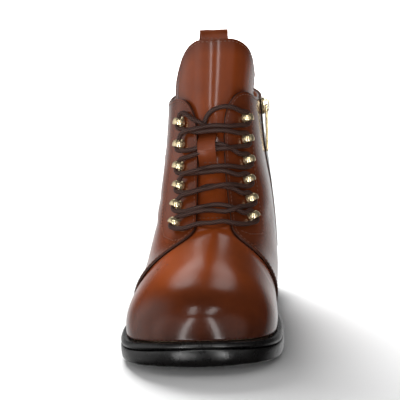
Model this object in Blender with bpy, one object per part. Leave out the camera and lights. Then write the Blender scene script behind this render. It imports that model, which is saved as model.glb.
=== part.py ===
"""Right lace-up ankle boot with a side zip: sole, hollow upper, overlays, hooks, lace and zip."""
from functools import lru_cache
from math import cos, pi, sin, sqrt

import bmesh
import bpy
import numpy as np
from mathutils import Vector

# Frame: toe at -Y, heel at +Y, outer side of the foot at -X, inner side at +X, floor at z = 0.
# Sizes and tables are in millimetres, meshes in metres.
MM = 0.001
GAP = 0.3
OUTER = -1
INNER = 1

# Sole
SOLE_LENGTH = 275.0
TOE_REACH = 58.0
TOE_SQUARENESS = 2.5
HEEL_REACH = 36.0
HEEL_SQUARENESS = 2.0
SOLE_THICKNESS = 15.0
MIDSOLE_THICKNESS = 4.0
INSOLE_THICKNESS = 2.5
TOE_SPRING = 6.5
SPRING_START = -78.0
ARCH_START = -35.0
ARCH_END = 92.0
HEEL_RISE = 21.0
HEEL_BREAST = 58.0
EDGE_ROUND = 2.2
EDGE_SLOPE = 0.3
SEAM_BEVEL = 0.7
HEEL_TAPER = 1.2
INSOLE_CLEARANCE = 1.6
SOLE_STATIONS = 30

# Walls
UPPER_WALL = 1.6
QUARTER_WALL = 1.4
TONGUE_WALL = 1.8
STRAP_WALL = 1.4
FEATHER_INSET = 3.6
BULGE_HEIGHT = 16.0

# Shaft
SHIN_REACH = 50.0
BACK_SQUARENESS = 2.1
LEG_START = 58.0
LEG_FULL = 112.0
WIDTH_START = 45.0
WIDTH_FULL = 108.0

# Lace and hooks
LACE_DIAMETER = 3.0
LACE_SIDES = 8
HOOK_WIDTH = 7.6
HOOK_HEIGHT = 5.4
HOOK_DEPTH = 4.6
HOOK_WALL = 0.9
HOOK_ARCH_POINTS = 7
HOOK_FULLNESS = 0.8

# Zip
ZIP_SLOT_HALF = 5.0
ZIP_BOTTOM_RING = 2.0
SLIDER_RING = 13.08
SLIDER_WIDTH = 7.6
SLIDER_HEIGHT = 10.5
SLIDER_PLATE = 1.8
BRIDGE_WIDTH = 2.4
BRIDGE_HALF_LENGTH = 4.2
BRIDGE_CLEARANCE = 2.5
BRIDGE_WALL = 1.1
BRIDGE_SHOULDER = 1.3
BRIDGE_TOP_HALF = 3.0
BRIDGE_SUNK = 0.4
PULLER_LENGTH = 30.0
PULLER_WIDTH = 5.6
PULLER_THICKNESS = 1.7
PULLER_EYE_LENGTH = 6.4
PULLER_EYE_WIDTH = 3.4

# Sole outline: share of the length from the toe, half width, middle of the width
OUTLINE = np.array([
    (0.00, 47.0, 3.0),
    (0.15, 49.2, 1.6),
    (0.26, 49.8, 0.4),
    (0.40, 46.0, -0.5),
    (0.50, 41.0, -1.0),
    (0.62, 36.5, -0.5),
    (0.75, 34.0, 1.5),
    (0.88, 33.5, 3.0),
    (1.00, 33.5, 3.5),
])

# Inset of the upper's widest line from the sole's edge, by share of the length: outer side, inner side
MARGIN = np.array([
    (0.00, 3.0, 3.0),
    (0.15, 2.2, 1.8),
    (0.26, 3.8, 2.6),
    (0.40, 7.0, 1.0),
    (0.50, 5.2, -3.5),
    (0.62, 4.5, -4.8),
    (0.75, 4.0, -0.8),
    (0.88, 4.0, 2.4),
    (1.00, 3.7, 3.0),
])

# Rings of the upper from the sole edge to above the collar: front point and back point of each
RINGS = np.array([
    (-131.5, 21.0, 130.5, 36.3),
    (-131.2, 27.0, 132.4, 43.0),
    (-129.2, 35.0, 134.0, 50.0),
    (-123.5, 43.5, 134.5, 57.0),
    (-113.0, 50.5, 134.2, 63.0),
    (-98.0, 55.5, 133.2, 70.0),
    (-80.0, 60.5, 131.6, 77.0),
    (-62.0, 65.5, 129.8, 84.0),
    (-45.0, 71.5, 128.0, 91.0),
    (-33.0, 80.0, 126.4, 98.0),
    (-22.0, 91.0, 124.8, 105.0),
    (-12.0, 104.0, 123.2, 113.0),
    (-4.0, 117.0, 121.9, 122.0),
    (3.0, 131.0, 120.9, 133.0),
    (8.0, 148.0, 120.6, 150.0),
    (12.5, 168.0, 121.6, 166.0),
    (17.0, 190.0, 123.6, 186.0),
])
THROAT_RING = 8.0
TOP_RING = float(len(RINGS) - 1)

# Shaft by height: half width, middle of the width
SHAFT = np.array([
    (60.0, 36.6, 4.6),
    (78.0, 33.8, 4.0),
    (104.0, 30.4, 3.0),
    (140.0, 28.3, 3.3),
    (152.0, 28.8, 3.8),
    (165.0, 29.2, 5.6),
    (190.0, 29.8, 6.4),
])

# Where the side starts to turn in to the back seam, by height
HEEL_TURN = np.array([(36.0, 98.0), (60.0, 93.0), (90.0, 80.0), (120.0, 68.0), (190.0, 66.0)])

# Roundness of the front by height: power and root of the section curve
ROUNDNESS = np.array([
    (20.0, 2.4, 2.1),
    (50.0, 2.05, 1.95),
    (70.0, 2.0, 1.7),
    (100.0, 2.1, 1.8),
    (140.0, 2.3, 2.1),
    (190.0, 2.3, 2.1),
])

# Sideways place of the front ridge and back seam by distance along the foot
RIDGE_SHIFT = np.array([
    (-132.0, 2.5),
    (-85.0, 4.5),
    (-45.0, 7.5),
    (-4.0, 5.0),
    (5.0, 5.4),
    (12.0, 7.2),
    (17.0, 7.8),
    (125.0, 1.4),
])

# Half width of the lacing gap by ring, measured round the ring from the ridge: outer side, inner side
LACING_GAP = np.array([
    (8.0, 12.2, 12.2),
    (9.0, 11.2, 10.2),
    (10.0, 10.2, 9.0),
    (12.0, 9.0, 7.7),
    (13.0, 10.4, 7.6),
    (14.0, 10.8, 7.4),
    (16.0, 10.8, 7.4),
])

# Sweep of the quarter's front edge below the throat by ring: outer side, inner side
QUARTER_SWEEP = np.array([
    (0.0, 8.0, 12.0),
    (1.0, 0.0, 8.0),
    (2.0, -10.0, 3.5),
    (3.0, -15.0, -1.5),
    (4.0, -14.5, -5.5),
    (5.0, -12.5, -8.5),
    (6.0, -11.0, -9.5),
    (7.0, -8.5, -7.5),
    (8.0, 0.0, 0.0),
])

# Collar line by share of the way from the lacing edge to the back: outer side ring, inner side ring
COLLAR = np.array([
    (0.00, 13.05, 13.25),
    (0.03, 13.56, 13.78),
    (0.07, 13.77, 13.98),
    (0.13, 13.75, 13.93),
    (0.22, 13.56, 13.68),
    (0.32, 13.40, 13.44),
    (0.45, 13.34, 13.36),
    (0.60, 13.34, 13.35),
    (0.72, 13.37, 13.36),
    (0.82, 13.52, 13.46),
    (0.92, 14.10, 14.02),
    (1.00, 14.62, 14.62),
])

# Zip line by ring: distance along the foot
ZIP_LINE = np.array([(0.0, 34.0), (4.0, 39.0), (9.0, 50.0), (12.0, 54.0), (16.0, 54.0)])

# Tongue half widths by ring, measured round the ring: outer side, inner side
TONGUE_HALF = np.array([
    (7.2, 13.0, 13.0),
    (8.0, 15.5, 15.5),
    (10.0, 20.0, 20.0),
    (12.0, 31.0, 34.0),
    (14.0, 43.0, 54.0),
    (15.0, 38.0, 47.0),
    (16.0, 34.0, 37.0),
])
TONGUE_START = 7.3

# Tongue top edge by share of the half width: ring
TONGUE_TOP = np.array([(0.0, 15.64), (0.3, 15.64), (0.55, 15.48), (0.8, 15.1), (0.93, 14.75), (1.0, 14.3)])

# Hooks by row from the top: outer side ring and distance from the ridge, then the inner side's
HOOKS = np.array([
    (12.87, 22.4, 12.98, 22.8),
    (11.87, 22.2, 12.02, 24.0),
    (10.84, 23.0, 11.00, 25.5),
    (9.95, 23.6, 10.08, 25.6),
    (8.90, 27.0, 9.05, 28.2),
    (7.56, 32.0, 7.80, 33.0),
])

# Colours as linear red, green, blue, with roughness and metal share
LEATHER = (0.22, 0.055, 0.017, 0.42, 0.0)
DARK_LEATHER = (0.10, 0.03, 0.013, 0.45, 0.0)
RUBBER = (0.018, 0.018, 0.019, 0.6, 0.0)
BOARD = (0.42, 0.32, 0.22, 0.8, 0.0)
CORD = (0.03, 0.016, 0.011, 0.8, 0.0)
TAPE = (0.02, 0.013, 0.011, 0.8, 0.0)
GILT = (0.83, 0.64, 0.33, 0.25, 1.0)


# Curves through tables

def curve(table, column, at):
    """Smooth curve through a table's rows, with no overshoot between them."""
    keys = table[:, 0]
    values = table[:, column]
    steps = np.diff(values) / np.diff(keys)
    slopes = np.empty(len(keys))
    slopes[0] = steps[0]
    slopes[-1] = steps[-1]
    before = steps[:-1]
    after = steps[1:]
    same_way = before * after > 0
    total = np.where(same_way, before + after, 1.0)
    slopes[1:-1] = np.where(same_way, 2 * before * after / total, 0.0)
    at = np.clip(at, keys[0], keys[-1])
    row = np.clip(np.searchsorted(keys, at) - 1, 0, len(keys) - 2)
    width = keys[row + 1] - keys[row]
    s = (at - keys[row]) / width
    start = (1 + 2 * s) * (1 - s) ** 2
    end = s * s * (3 - 2 * s)
    lead_out = s * (1 - s) ** 2 * width
    lead_in = s * s * (s - 1) * width
    return start * values[row] + end * values[row + 1] + lead_out * slopes[row] + lead_in * slopes[row + 1]


def ease(share):
    """Smooth step from 0 to 1."""
    share = np.clip(share, 0.0, 1.0)
    return share * share * (3 - 2 * share)


# Sole lines

def outline_half(y):
    return curve(OUTLINE, 1, y / SOLE_LENGTH + 0.5)


def outline_middle(y):
    return curve(OUTLINE, 2, y / SOLE_LENGTH + 0.5)


def round_end(distance, reach, squareness):
    """Share of the full width at a distance from a round end."""
    return (1 - (1 - np.clip(distance / reach, 0.0, 1.0)) ** squareness) ** (1 / squareness)


def sole_side(y, side):
    """Sideways place of the sole's edge."""
    toe = round_end(y + SOLE_LENGTH / 2, TOE_REACH, TOE_SQUARENESS)
    heel = round_end(SOLE_LENGTH / 2 - y, HEEL_REACH, HEEL_SQUARENESS)
    return outline_middle(y) + side * outline_half(y) * toe * heel


def sole_middle_shift():
    """Sideways shift that centres the sole on the frame."""
    y = np.linspace(-SOLE_LENGTH / 2, SOLE_LENGTH / 2, 400)
    return (sole_side(y, OUTER).min() + sole_side(y, INNER).max()) / 2


SOLE_SHIFT = sole_middle_shift()


def toe_lift(y):
    run = SOLE_LENGTH / 2 + SPRING_START
    return TOE_SPRING * (np.maximum(SPRING_START - y, 0.0) / run) ** 2


def arch_lift(y):
    return HEEL_RISE * ease((y - ARCH_START) / (ARCH_END - ARCH_START))


def feather(y):
    """Height of the sole's top, where the upper stands."""
    return SOLE_THICKNESS + toe_lift(y) + arch_lift(y)


# The upper's own surface

RING_ROWS = np.column_stack([np.arange(len(RINGS)), RINGS])
FINE_RINGS = np.linspace(0.0, TOP_RING, 400)
RIDGE_Y = curve(RING_ROWS, 1, FINE_RINGS)
RIDGE_Z = curve(RING_ROWS, 2, FINE_RINGS)
BACK_Y = curve(RING_ROWS, 3, FINE_RINGS)
BACK_Z = curve(RING_ROWS, 4, FINE_RINGS)
RING_SAMPLES = 181
AROUND_STEP = 1.2
RING_STEP = 0.08


def widest(y, z, side):
    """Sideways place of the upper's side, before the front and back turn in."""
    toe_gap = RINGS[0, 0] + SOLE_LENGTH / 2
    from_toe = round_end(y - RINGS[0, 0], TOE_REACH - toe_gap, TOE_SQUARENESS)
    bulge = ease((z - feather(y)) / BULGE_HEIGHT)
    margin = curve(MARGIN, 1 if side == OUTER else 2, y / SOLE_LENGTH + 0.5)
    half = (outline_half(y) - (1 - bulge) * FEATHER_INSET - bulge * margin) * from_toe
    foot = outline_middle(y) - SOLE_SHIFT + side * half
    leg = curve(SHAFT, 2, z) + side * curve(SHAFT, 1, z)
    share = ease((z - WIDTH_START) / (WIDTH_FULL - WIDTH_START))
    return (1 - share) * foot + share * leg


def turned_in(y, z):
    """Share of the side's width that is left as the surface turns in to the ridge and the back seam."""
    base = feather(y)
    ridge_z = np.interp(y, RIDGE_Y, RIDGE_Z)
    ridge_y = np.interp(z, RIDGE_Z, RIDGE_Y)
    back_y = np.interp(z, BACK_Z, BACK_Y)
    up = np.clip((z - base) / (ridge_z - base), 0.0, 1.0)
    ahead = np.clip(1 - (y - ridge_y) / SHIN_REACH, 0.0, 1.0)
    leg = ease((z - LEG_START) / (LEG_FULL - LEG_START))
    near = (1 - leg) * up + leg * ahead
    front = (1 - near ** curve(ROUNDNESS, 1, z)) ** (1 / curve(ROUNDNESS, 2, z))
    heel_turn = curve(HEEL_TURN, 1, z)
    behind = np.clip((y - heel_turn) / (back_y - heel_turn), 0.0, 1.0)
    return front * np.sqrt(1 - behind ** BACK_SQUARENESS)


@lru_cache(maxsize=None)
def ring_side(ring, side):
    """Distances and points round one side of a ring, from the ridge to the back seam."""
    front_y, front_z, back_y, back_z = (curve(RING_ROWS, column, ring) for column in (1, 2, 3, 4))
    along = 0.5 - 0.5 * np.cos(np.linspace(0.0, pi, RING_SAMPLES))
    y = front_y + (back_y - front_y) * along
    level = front_z + (back_z - front_z) * along
    front_rise = front_z - feather(front_y)
    back_rise = back_z - feather(back_y)
    over_sole = feather(y) + front_rise * (1 - along) + back_rise * along
    low = 1 - ease(ring / THROAT_RING)
    z = low * over_sole + (1 - low) * level
    middle = curve(RIDGE_SHIFT, 1, y)
    share = turned_in(y, z)
    share[0] = 0.0
    share[-1] = 0.0
    x = middle + (widest(y, z, side) - middle) * share
    points = np.column_stack([x, y, z])
    steps = np.linalg.norm(np.diff(points, axis=0), axis=1)
    return np.concatenate([[0.0], np.cumsum(steps)]), points


def side_length(ring, side):
    return ring_side(round(float(ring), 4), side)[0][-1]


def on_ring(ring, across):
    """Point on a ring at a signed distance from the ridge, minus on the outer side; it runs past the back."""
    ring = round(float(np.clip(ring, 0.0, TOP_RING)), 4)
    side = INNER if across >= 0 else OUTER
    distance = abs(across)
    length = side_length(ring, side)
    if distance > length:
        side = -side
        distance = side_length(ring, side) - (distance - length)
    distances, points = ring_side(ring, side)
    return np.array([np.interp(distance, distances, points[:, axis]) for axis in range(3)])


def directions(ring, across):
    """Unit vectors round the ring, up the surface and out of it."""
    around = on_ring(ring, across + AROUND_STEP) - on_ring(ring, across - AROUND_STEP)
    up = on_ring(ring + RING_STEP, across) - on_ring(ring - RING_STEP, across)
    out = np.cross(around, up)
    out = out / np.linalg.norm(out)
    around = around / np.linalg.norm(around)
    return around, np.cross(out, around), out


def skin(ring, across, lift=0.0):
    """Point at a height above the upper's outer surface."""
    point = on_ring(ring, across)
    if lift:
        point = point + lift * directions(ring, across)[2]
    return point


def distance_at(ring, side, y):
    """Distance round the ring from the ridge to where it reaches a place along the foot."""
    distances, points = ring_side(round(float(ring), 4), side)
    return float(np.interp(y, points[:, 1], distances))


def quarter_edge(ring, side):
    """Distance from the ridge to the quarter's front edge."""
    column = 1 if side == OUTER else 2
    if ring >= THROAT_RING:
        return float(curve(LACING_GAP, column, ring))
    corner = on_ring(THROAT_RING, side * LACING_GAP[0, column])[1]
    return distance_at(ring, side, corner + curve(QUARTER_SWEEP, column, ring))


def zip_distance(ring):
    return distance_at(ring, INNER, curve(ZIP_LINE, 1, ring))


# Columns that the upper and the quarters share

OUTER_COLUMNS = 13
VAMP_COLUMNS = 20
INNER_COLUMNS = (6, 2, 6)
LOW_RINGS = (0.0, 1.0, 2.0, 3.0, 4.0, 5.0, 6.0, 6.7, 7.4, 8.0)
HIGH_ROWS = 7
EDGE_CROWDING = 1.3
COLLAR_LEVEL = 14.0


def side_stops(ring, side):
    """Distances from the ridge at which the columns of a side start, meet the zip and end."""
    edge = quarter_edge(ring, side)
    length = side_length(ring, side)
    if side == OUTER:
        return [edge, length]
    middle = zip_distance(ring)
    return [edge, middle - ZIP_SLOT_HALF, middle + ZIP_SLOT_HALF, length]


def side_columns(side):
    """Columns of a side as a stop and a share of the way to the next stop."""
    if side == OUTER:
        return [(0, (step / OUTER_COLUMNS) ** EDGE_CROWDING) for step in range(OUTER_COLUMNS + 1)]
    columns = []
    for stop, count in enumerate(INNER_COLUMNS):
        crowding = EDGE_CROWDING if stop == 0 else 1.0
        columns += [(stop, (step / count) ** crowding) for step in range(count)]
    return columns + [(len(INNER_COLUMNS) - 1, 1.0)]


def column_distance(ring, side, column):
    stop, share = column
    stops = side_stops(ring, side)
    return stops[stop] + (stops[stop + 1] - stops[stop]) * share


@lru_cache(maxsize=None)
def collar_ring(side, column):
    """Ring at which the collar cuts a column."""
    stops = side_stops(COLLAR_LEVEL, side)
    share = (column_distance(COLLAR_LEVEL, side, column) - stops[0]) / (stops[-1] - stops[0])
    return float(curve(COLLAR, 1 if side == OUTER else 2, share))


def column_ring(row, side, column):
    """Ring of a row: fixed up to the throat, then shared out up to the collar."""
    if row < len(LOW_RINGS):
        return LOW_RINGS[row]
    share = (row - len(LOW_RINGS) + 1) / HIGH_ROWS
    return THROAT_RING + (collar_ring(side, column) - THROAT_RING) * share


ROWS = len(LOW_RINGS) + HIGH_ROWS


def side_point(row, side, column, lift):
    ring = column_ring(row, side, column)
    return skin(ring, side * column_distance(ring, side, column), lift)


# Mesh helpers

SAME_POINT = 0.01


def finish(name, mesh, colour):
    """Object with its own material."""
    red, green, blue, roughness, metal = colour
    material = bpy.data.materials.new(name)
    material.use_nodes = True
    shader = material.node_tree.nodes["Principled BSDF"]
    shader.inputs["Base Color"].default_value = (red, green, blue, 1.0)
    shader.inputs["Roughness"].default_value = roughness
    shader.inputs["Metallic"].default_value = metal
    mesh.materials.append(material)
    piece = bpy.data.objects.new(name, mesh)
    bpy.context.collection.objects.link(piece)
    return piece


def mesh_of(name, points, faces, closed=False):
    """Mesh in metres from the points in millimetres that faces use; a closed one faces outwards."""
    mesh = bpy.data.meshes.new(name)
    shape = bmesh.new()
    corners = {}
    for face in faces:
        for index in face:
            if index not in corners:
                corners[index] = shape.verts.new(Vector(points[index]) * MM)
        shape.faces.new([corners[index] for index in face])
    if closed:
        bmesh.ops.remove_doubles(shape, verts=shape.verts, dist=SAME_POINT * MM)
        bmesh.ops.recalc_face_normals(shape, faces=shape.faces)
    shape.to_mesh(mesh)
    shape.free()
    mesh.shade_smooth()
    return mesh


def thicken(piece, wall, outward):
    """Give a sheet its wall, on the side it faces or behind it."""
    solid = piece.modifiers.new("wall", "SOLIDIFY")
    solid.thickness = wall * MM
    solid.offset = 1.0 if outward else -1.0
    solid.use_even_offset = True


def grid_faces(rows, columns):
    """Faces of a sheet whose points are listed row by row."""
    faces = []
    for row in range(rows - 1):
        for column in range(columns - 1):
            low = row * columns + column
            high = low + columns
            faces.append((low, low + 1, high + 1, high))
    return faces


# Sole pieces

def sole_edge(y, side):
    """Edge of the sole in the frame."""
    return sole_side(y, side) - SOLE_SHIFT


def insole_edge(y, side):
    """Edge of the insole, just inside the upper's lowest ring."""
    points = ring_side(0.0, side)[1]
    return np.interp(y, points[:, 1], points[:, 0])


def stations(first, last, cut_front):
    """Places along the foot, closer together at round ends."""
    turn = np.linspace(0.5 * pi if cut_front else 0.0, pi, SOLE_STATIONS // (2 if cut_front else 1))
    share = -np.cos(turn) if cut_front else 0.5 - 0.5 * np.cos(turn)
    return first + (last - first) * share


def inset_side(edge, ys, side, inset, cut_front):
    """One side of an outline, moved inwards along its own normal."""
    line = np.column_stack([edge(ys, side), ys])
    along = np.gradient(line, axis=0)
    along = along / np.linalg.norm(along, axis=1)[:, None]
    inward = np.column_stack([-side * along[:, 1], side * along[:, 0]])
    inward[0] = (-side, 0.0) if cut_front else (0.0, 1.0)
    inward[-1] = (0.0, -1.0)
    return line + inset * inward


def slab(name, edge, ends, levels, colour, cut_front=False):
    """Solid with an outline: each level has a height along the foot, an offset and an inset of the edge."""
    ys = stations(*ends, cut_front)
    count = len(ys)
    points = []
    for height, offset, inset in levels:
        for side in (OUTER, INNER):
            for x, y in inset_side(edge, ys, side, inset, cut_front):
                points.append((x, y, height(y) + offset))

    def at(level, side, station):
        return (level * 2 + side) * count + station

    top = len(levels) - 1
    faces = []
    for station in range(count - 1):
        onward = station + 1
        faces.append((at(0, 0, station), at(0, 0, onward), at(0, 1, onward), at(0, 1, station)))
        faces.append((at(top, 0, station), at(top, 1, station), at(top, 1, onward), at(top, 0, onward)))
        for low in range(top):
            high = low + 1
            faces.append((at(low, 0, station), at(high, 0, station), at(high, 0, onward), at(low, 0, onward)))
            faces.append((at(low, 1, station), at(low, 1, onward), at(high, 1, onward), at(high, 1, station)))
    if cut_front:
        for low in range(top):
            faces.append((at(low, 0, 0), at(low, 1, 0), at(low + 1, 1, 0), at(low + 1, 0, 0)))
    finish(name, mesh_of(name, points, faces, closed=True), colour)


SOLE_ENDS = (-SOLE_LENGTH / 2, SOLE_LENGTH / 2)


def ground(y):
    return 0.0


def outsole_bottom(y):
    return feather(y) - SOLE_THICKNESS


def outsole_top(y):
    return feather(y) - MIDSOLE_THICKNESS - GAP


def build_outsole():
    levels = (
        (outsole_bottom, 0.0, EDGE_ROUND),
        (outsole_bottom, EDGE_ROUND, EDGE_SLOPE),
        (outsole_top, -SEAM_BEVEL, 0.0),
        (outsole_top, 0.0, SEAM_BEVEL),
    )
    slab("outsole", sole_edge, SOLE_ENDS, levels, RUBBER)


def build_midsole():
    """Top layer of the sole: its joint with the outsole is the line round the side."""
    levels = (
        (feather, -MIDSOLE_THICKNESS, SEAM_BEVEL),
        (feather, SEAM_BEVEL - MIDSOLE_THICKNESS, EDGE_SLOPE),
        (feather, -EDGE_ROUND, EDGE_SLOPE),
        (feather, -EDGE_ROUND / 4, EDGE_ROUND - SEAM_BEVEL),
        (feather, 0.0, EDGE_ROUND + SEAM_BEVEL),
    )
    slab("midsole", sole_edge, SOLE_ENDS, levels, RUBBER)


def build_heel():
    levels = (
        (ground, 0.0, HEEL_TAPER + EDGE_ROUND),
        (ground, EDGE_ROUND, HEEL_TAPER),
        (outsole_bottom, -GAP, SEAM_BEVEL),
    )
    slab("heel", sole_edge, (HEEL_BREAST, SOLE_LENGTH / 2), levels, RUBBER, cut_front=True)


def build_insole():
    inside = UPPER_WALL + INSOLE_CLEARANCE
    levels = (
        (feather, GAP, inside),
        (feather, GAP + INSOLE_THICKNESS, inside),
    )
    slab("insole", insole_edge, (RINGS[0, 0], RINGS[0, 2]), levels, BOARD)


# Upper, quarters and tongue

def build_upper():
    """Vamp and shaft: whole rings up to the throat, then open at the front up to the collar."""
    outer = side_columns(OUTER)
    inner = side_columns(INNER)
    vamp_start = len(outer) - 1
    vamp_end = vamp_start + VAMP_COLUMNS
    around = vamp_end + len(inner) - 1
    points = {}
    for row in range(ROWS):
        for step, column in enumerate(outer):
            points[row, vamp_start - step] = side_point(row, OUTER, column, 0.0)
        for step, column in enumerate(inner[:-1]):
            points[row, vamp_end + step] = side_point(row, INNER, column, 0.0)
        if row < len(LOW_RINGS):
            ring = LOW_RINGS[row]
            first = -quarter_edge(ring, OUTER)
            last = quarter_edge(ring, INNER)
            for step in range(1, VAMP_COLUMNS):
                points[row, vamp_start + step] = skin(ring, first + (last - first) * step / VAMP_COLUMNS)
    faces = []
    for row in range(ROWS - 1):
        for step in range(around):
            if row + 1 >= len(LOW_RINGS) and vamp_start <= step < vamp_end:
                continue
            onward = (step + 1) % around
            faces.append(((row, step), (row, onward), (row + 1, onward), (row + 1, step)))
    piece = finish("upper", mesh_of("upper", points, faces), LEATHER)
    thicken(piece, UPPER_WALL, outward=False)


QUARTER_START = 0.12
BACK_SEAM = 0.2


def build_quarter(name, side):
    """Outer panel from the lacing edge to the back seam; the inner one has the zip's slot."""
    columns = side_columns(side)
    points = {}
    for row in range(ROWS):
        for step, column in enumerate(columns):
            ring = max(column_ring(row, side, column), QUARTER_START)
            distance = column_distance(ring, side, column)
            if step == len(columns) - 1:
                distance -= BACK_SEAM
            points[row, step] = skin(ring, side * distance, GAP)
    slot = range(INNER_COLUMNS[0], INNER_COLUMNS[0] + INNER_COLUMNS[1]) if side == INNER else ()
    faces = []
    for row in range(ROWS - 1):
        for step in range(len(columns) - 1):
            if step in slot and column_ring(row, side, columns[step]) >= ZIP_BOTTOM_RING:
                continue
            face = ((row, step), (row, step + 1), (row + 1, step + 1), (row + 1, step))
            faces.append(face if side == INNER else face[::-1])
    piece = finish(name, mesh_of(name, points, faces), LEATHER)
    thicken(piece, QUARTER_WALL, outward=True)


TONGUE_SLACK = 0.1
TONGUE_LIFT = -(UPPER_WALL + GAP + TONGUE_SLACK)
TONGUE_ROWS = 13
TONGUE_COLUMNS = 12


def build_tongue():
    points = []
    for row in range(TONGUE_ROWS + 1):
        for step in range(TONGUE_COLUMNS + 1):
            share = 2 * step / TONGUE_COLUMNS - 1
            top = curve(TONGUE_TOP, 1, abs(share))
            ring = TONGUE_START + (top - TONGUE_START) * row / TONGUE_ROWS
            half = curve(TONGUE_HALF, 1 if share < 0 else 2, ring)
            points.append(skin(ring, share * half, TONGUE_LIFT))
    faces = grid_faces(TONGUE_ROWS + 1, TONGUE_COLUMNS + 1)
    piece = finish("tongue", mesh_of("tongue", points, faces), DARK_LEATHER)
    thicken(piece, TONGUE_WALL, outward=False)


# Loops of leather strap

TONGUE_TOP_LIFT = TONGUE_LIFT + GAP
QUARTER_TOP_LIFT = GAP + QUARTER_WALL
KEEPER_HALF = 4.3
KEEPER_RAISED = 4.8
# Lace keeper on the tongue: ring, height above the upper's surface
KEEPER = (
    (11.20, TONGUE_TOP_LIFT),
    (11.31, TONGUE_TOP_LIFT + 0.4),
    (11.40, KEEPER_RAISED - 0.6),
    (11.51, KEEPER_RAISED),
    (11.70, KEEPER_RAISED + 0.2),
    (11.90, KEEPER_RAISED),
    (12.08, KEEPER_RAISED - 0.9),
    (12.26, TONGUE_TOP_LIFT + 0.7),
    (12.42, TONGUE_TOP_LIFT),
)
KEEPER_COLUMNS = 4


def build_tongue_loop():
    points = []
    for ring, lift in KEEPER:
        for step in range(KEEPER_COLUMNS + 1):
            points.append(skin(ring, KEEPER_HALF * (2 * step / KEEPER_COLUMNS - 1), lift))
    faces = grid_faces(len(KEEPER), KEEPER_COLUMNS + 1)
    piece = finish("tongue_loop", mesh_of("tongue_loop", points, faces), LEATHER)
    thicken(piece, STRAP_WALL, outward=True)


PULL_HALF = 9.5
# Shift of the loop from the back seam towards the outer side
PULL_SHIFT = 2.4
PULL_COLUMNS = 4
PULL_RING = 14.64
PULL_HEIGHT = 15.6
PULL_BELLY = 5.8
PULL_FULLNESS = 0.7
PULL_INSIDE_SLACK = 0.9
PULL_ARCH_STEPS = 8
PULL_LEG_RINGS = (13.85, 14.2)


def build_pull_loop():
    """Strap from the outside of the back seam over the collar and down inside; it lies flat over the top."""
    rows = []
    outside = QUARTER_TOP_LIFT + GAP
    inside = -UPPER_WALL - GAP - PULL_INSIDE_SLACK
    middle = (outside + inside) / 2
    half_gap = (outside - inside) / 2
    columns = [PULL_HALF * (2 * step / PULL_COLUMNS - 1) for step in range(PULL_COLUMNS + 1)]

    def at(ring, offset, lift):
        return skin(ring, side_length(ring, INNER) + PULL_SHIFT + offset, lift)

    for ring in PULL_LEG_RINGS:
        rows.append([at(ring, offset, outside) for offset in columns])
    straight = directions(PULL_RING, side_length(PULL_RING, INNER))[0]
    for step in range(PULL_ARCH_STEPS + 1):
        turn = pi * step / PULL_ARCH_STEPS
        flat = max(sin(turn), 0.0) ** PULL_FULLNESS
        lift = middle + (half_gap + (PULL_BELLY - half_gap) * flat) * cos(turn)
        rise = np.array([0.0, 0.0, PULL_HEIGHT * sin(turn)])
        middle_point = at(PULL_RING, 0.0, lift)
        row = []
        for offset in columns:
            bent = at(PULL_RING, offset, lift)
            row.append((1 - flat) * bent + flat * (middle_point + offset * straight) + rise)
        rows.append(row)
    for ring in reversed(PULL_LEG_RINGS):
        rows.append([at(ring, offset, inside) for offset in columns])
    points = [point for row in rows for point in row]
    faces = grid_faces(len(rows), PULL_COLUMNS + 1)
    piece = finish("pull_loop", mesh_of("pull_loop", points, faces), LEATHER)
    thicken(piece, STRAP_WALL, outward=True)


# Hooks

HOOK_LIFT = QUARTER_TOP_LIFT + GAP
HOOK_BORE_LIFT = HOOK_LIFT + (HOOK_HEIGHT + HOOK_WALL) / 2 - HOOK_WALL / 2


def hook_place(row, side):
    """Ring and signed distance of a hook."""
    first = 0 if side == OUTER else 2
    return HOOKS[row, first], side * HOOKS[row, first + 1]


def build_hook(name, row, side):
    """Domed metal loop: the lace runs up through it, along the lacing."""
    ring, across = hook_place(row, side)
    foot = skin(ring, across, HOOK_LIFT)
    around, up, out = directions(ring, across)
    points = []
    for end in (-0.5, 0.5):
        for width, height, floor in (
            (HOOK_WIDTH, HOOK_HEIGHT, 0.0),
            (HOOK_WIDTH - 2 * HOOK_WALL, HOOK_HEIGHT - 2 * HOOK_WALL, HOOK_WALL),
        ):
            for step in range(HOOK_ARCH_POINTS):
                turn = pi * step / (HOOK_ARCH_POINTS - 1)
                sideways = width / 2 * cos(turn)
                raised = floor + height * sin(turn) ** HOOK_FULLNESS
                points.append(foot + sideways * around + raised * out + end * HOOK_DEPTH * up)
    count = HOOK_ARCH_POINTS
    low_outer, low_inner, high_outer, high_inner = (loop * count for loop in range(4))
    faces = []
    for step in range(count):
        onward = (step + 1) % count
        for first, second in (
            (low_outer, high_outer),
            (high_inner, low_inner),
            (low_inner, low_outer),
            (high_outer, high_inner),
        ):
            faces.append((first + onward, first + step, second + step, second + onward))
    finish(name, mesh_of(name, points, faces, closed=True), GILT)


# Lace

LACE_CLEAR = 0.5
MOUTH_CLEAR = 2.0
LACE_BITE = 0.3
LACE_OVER_QUARTER = QUARTER_TOP_LIFT + LACE_DIAMETER / 2 + LACE_CLEAR
LACE_ON_TONGUE = 0.9
LACE_ON_VAMP = 2.5
# Distance from the ridge at which a run has sunk into the lacing gap, and the run-in to it
SINK_END = 0.4
SINK_RUN = 5.2
# Share of a run, from its middle, at which it starts to climb to its hooks, and the share it takes
CLIMB_START = 0.36
CLIMB_RUN = 0.14
# Places of the lowest run between its hooks: distance from the ridge, ring
BAR_PLACES = (
    (-29.5, 7.05), (-22.4, 7.27), (-14.0, 7.71), (-7.3, 7.97), (-0.9, 8.11), (5.0, 8.10), (12.7, 7.78),
    (20.4, 7.52), (26.4, 7.32),
)
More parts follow.
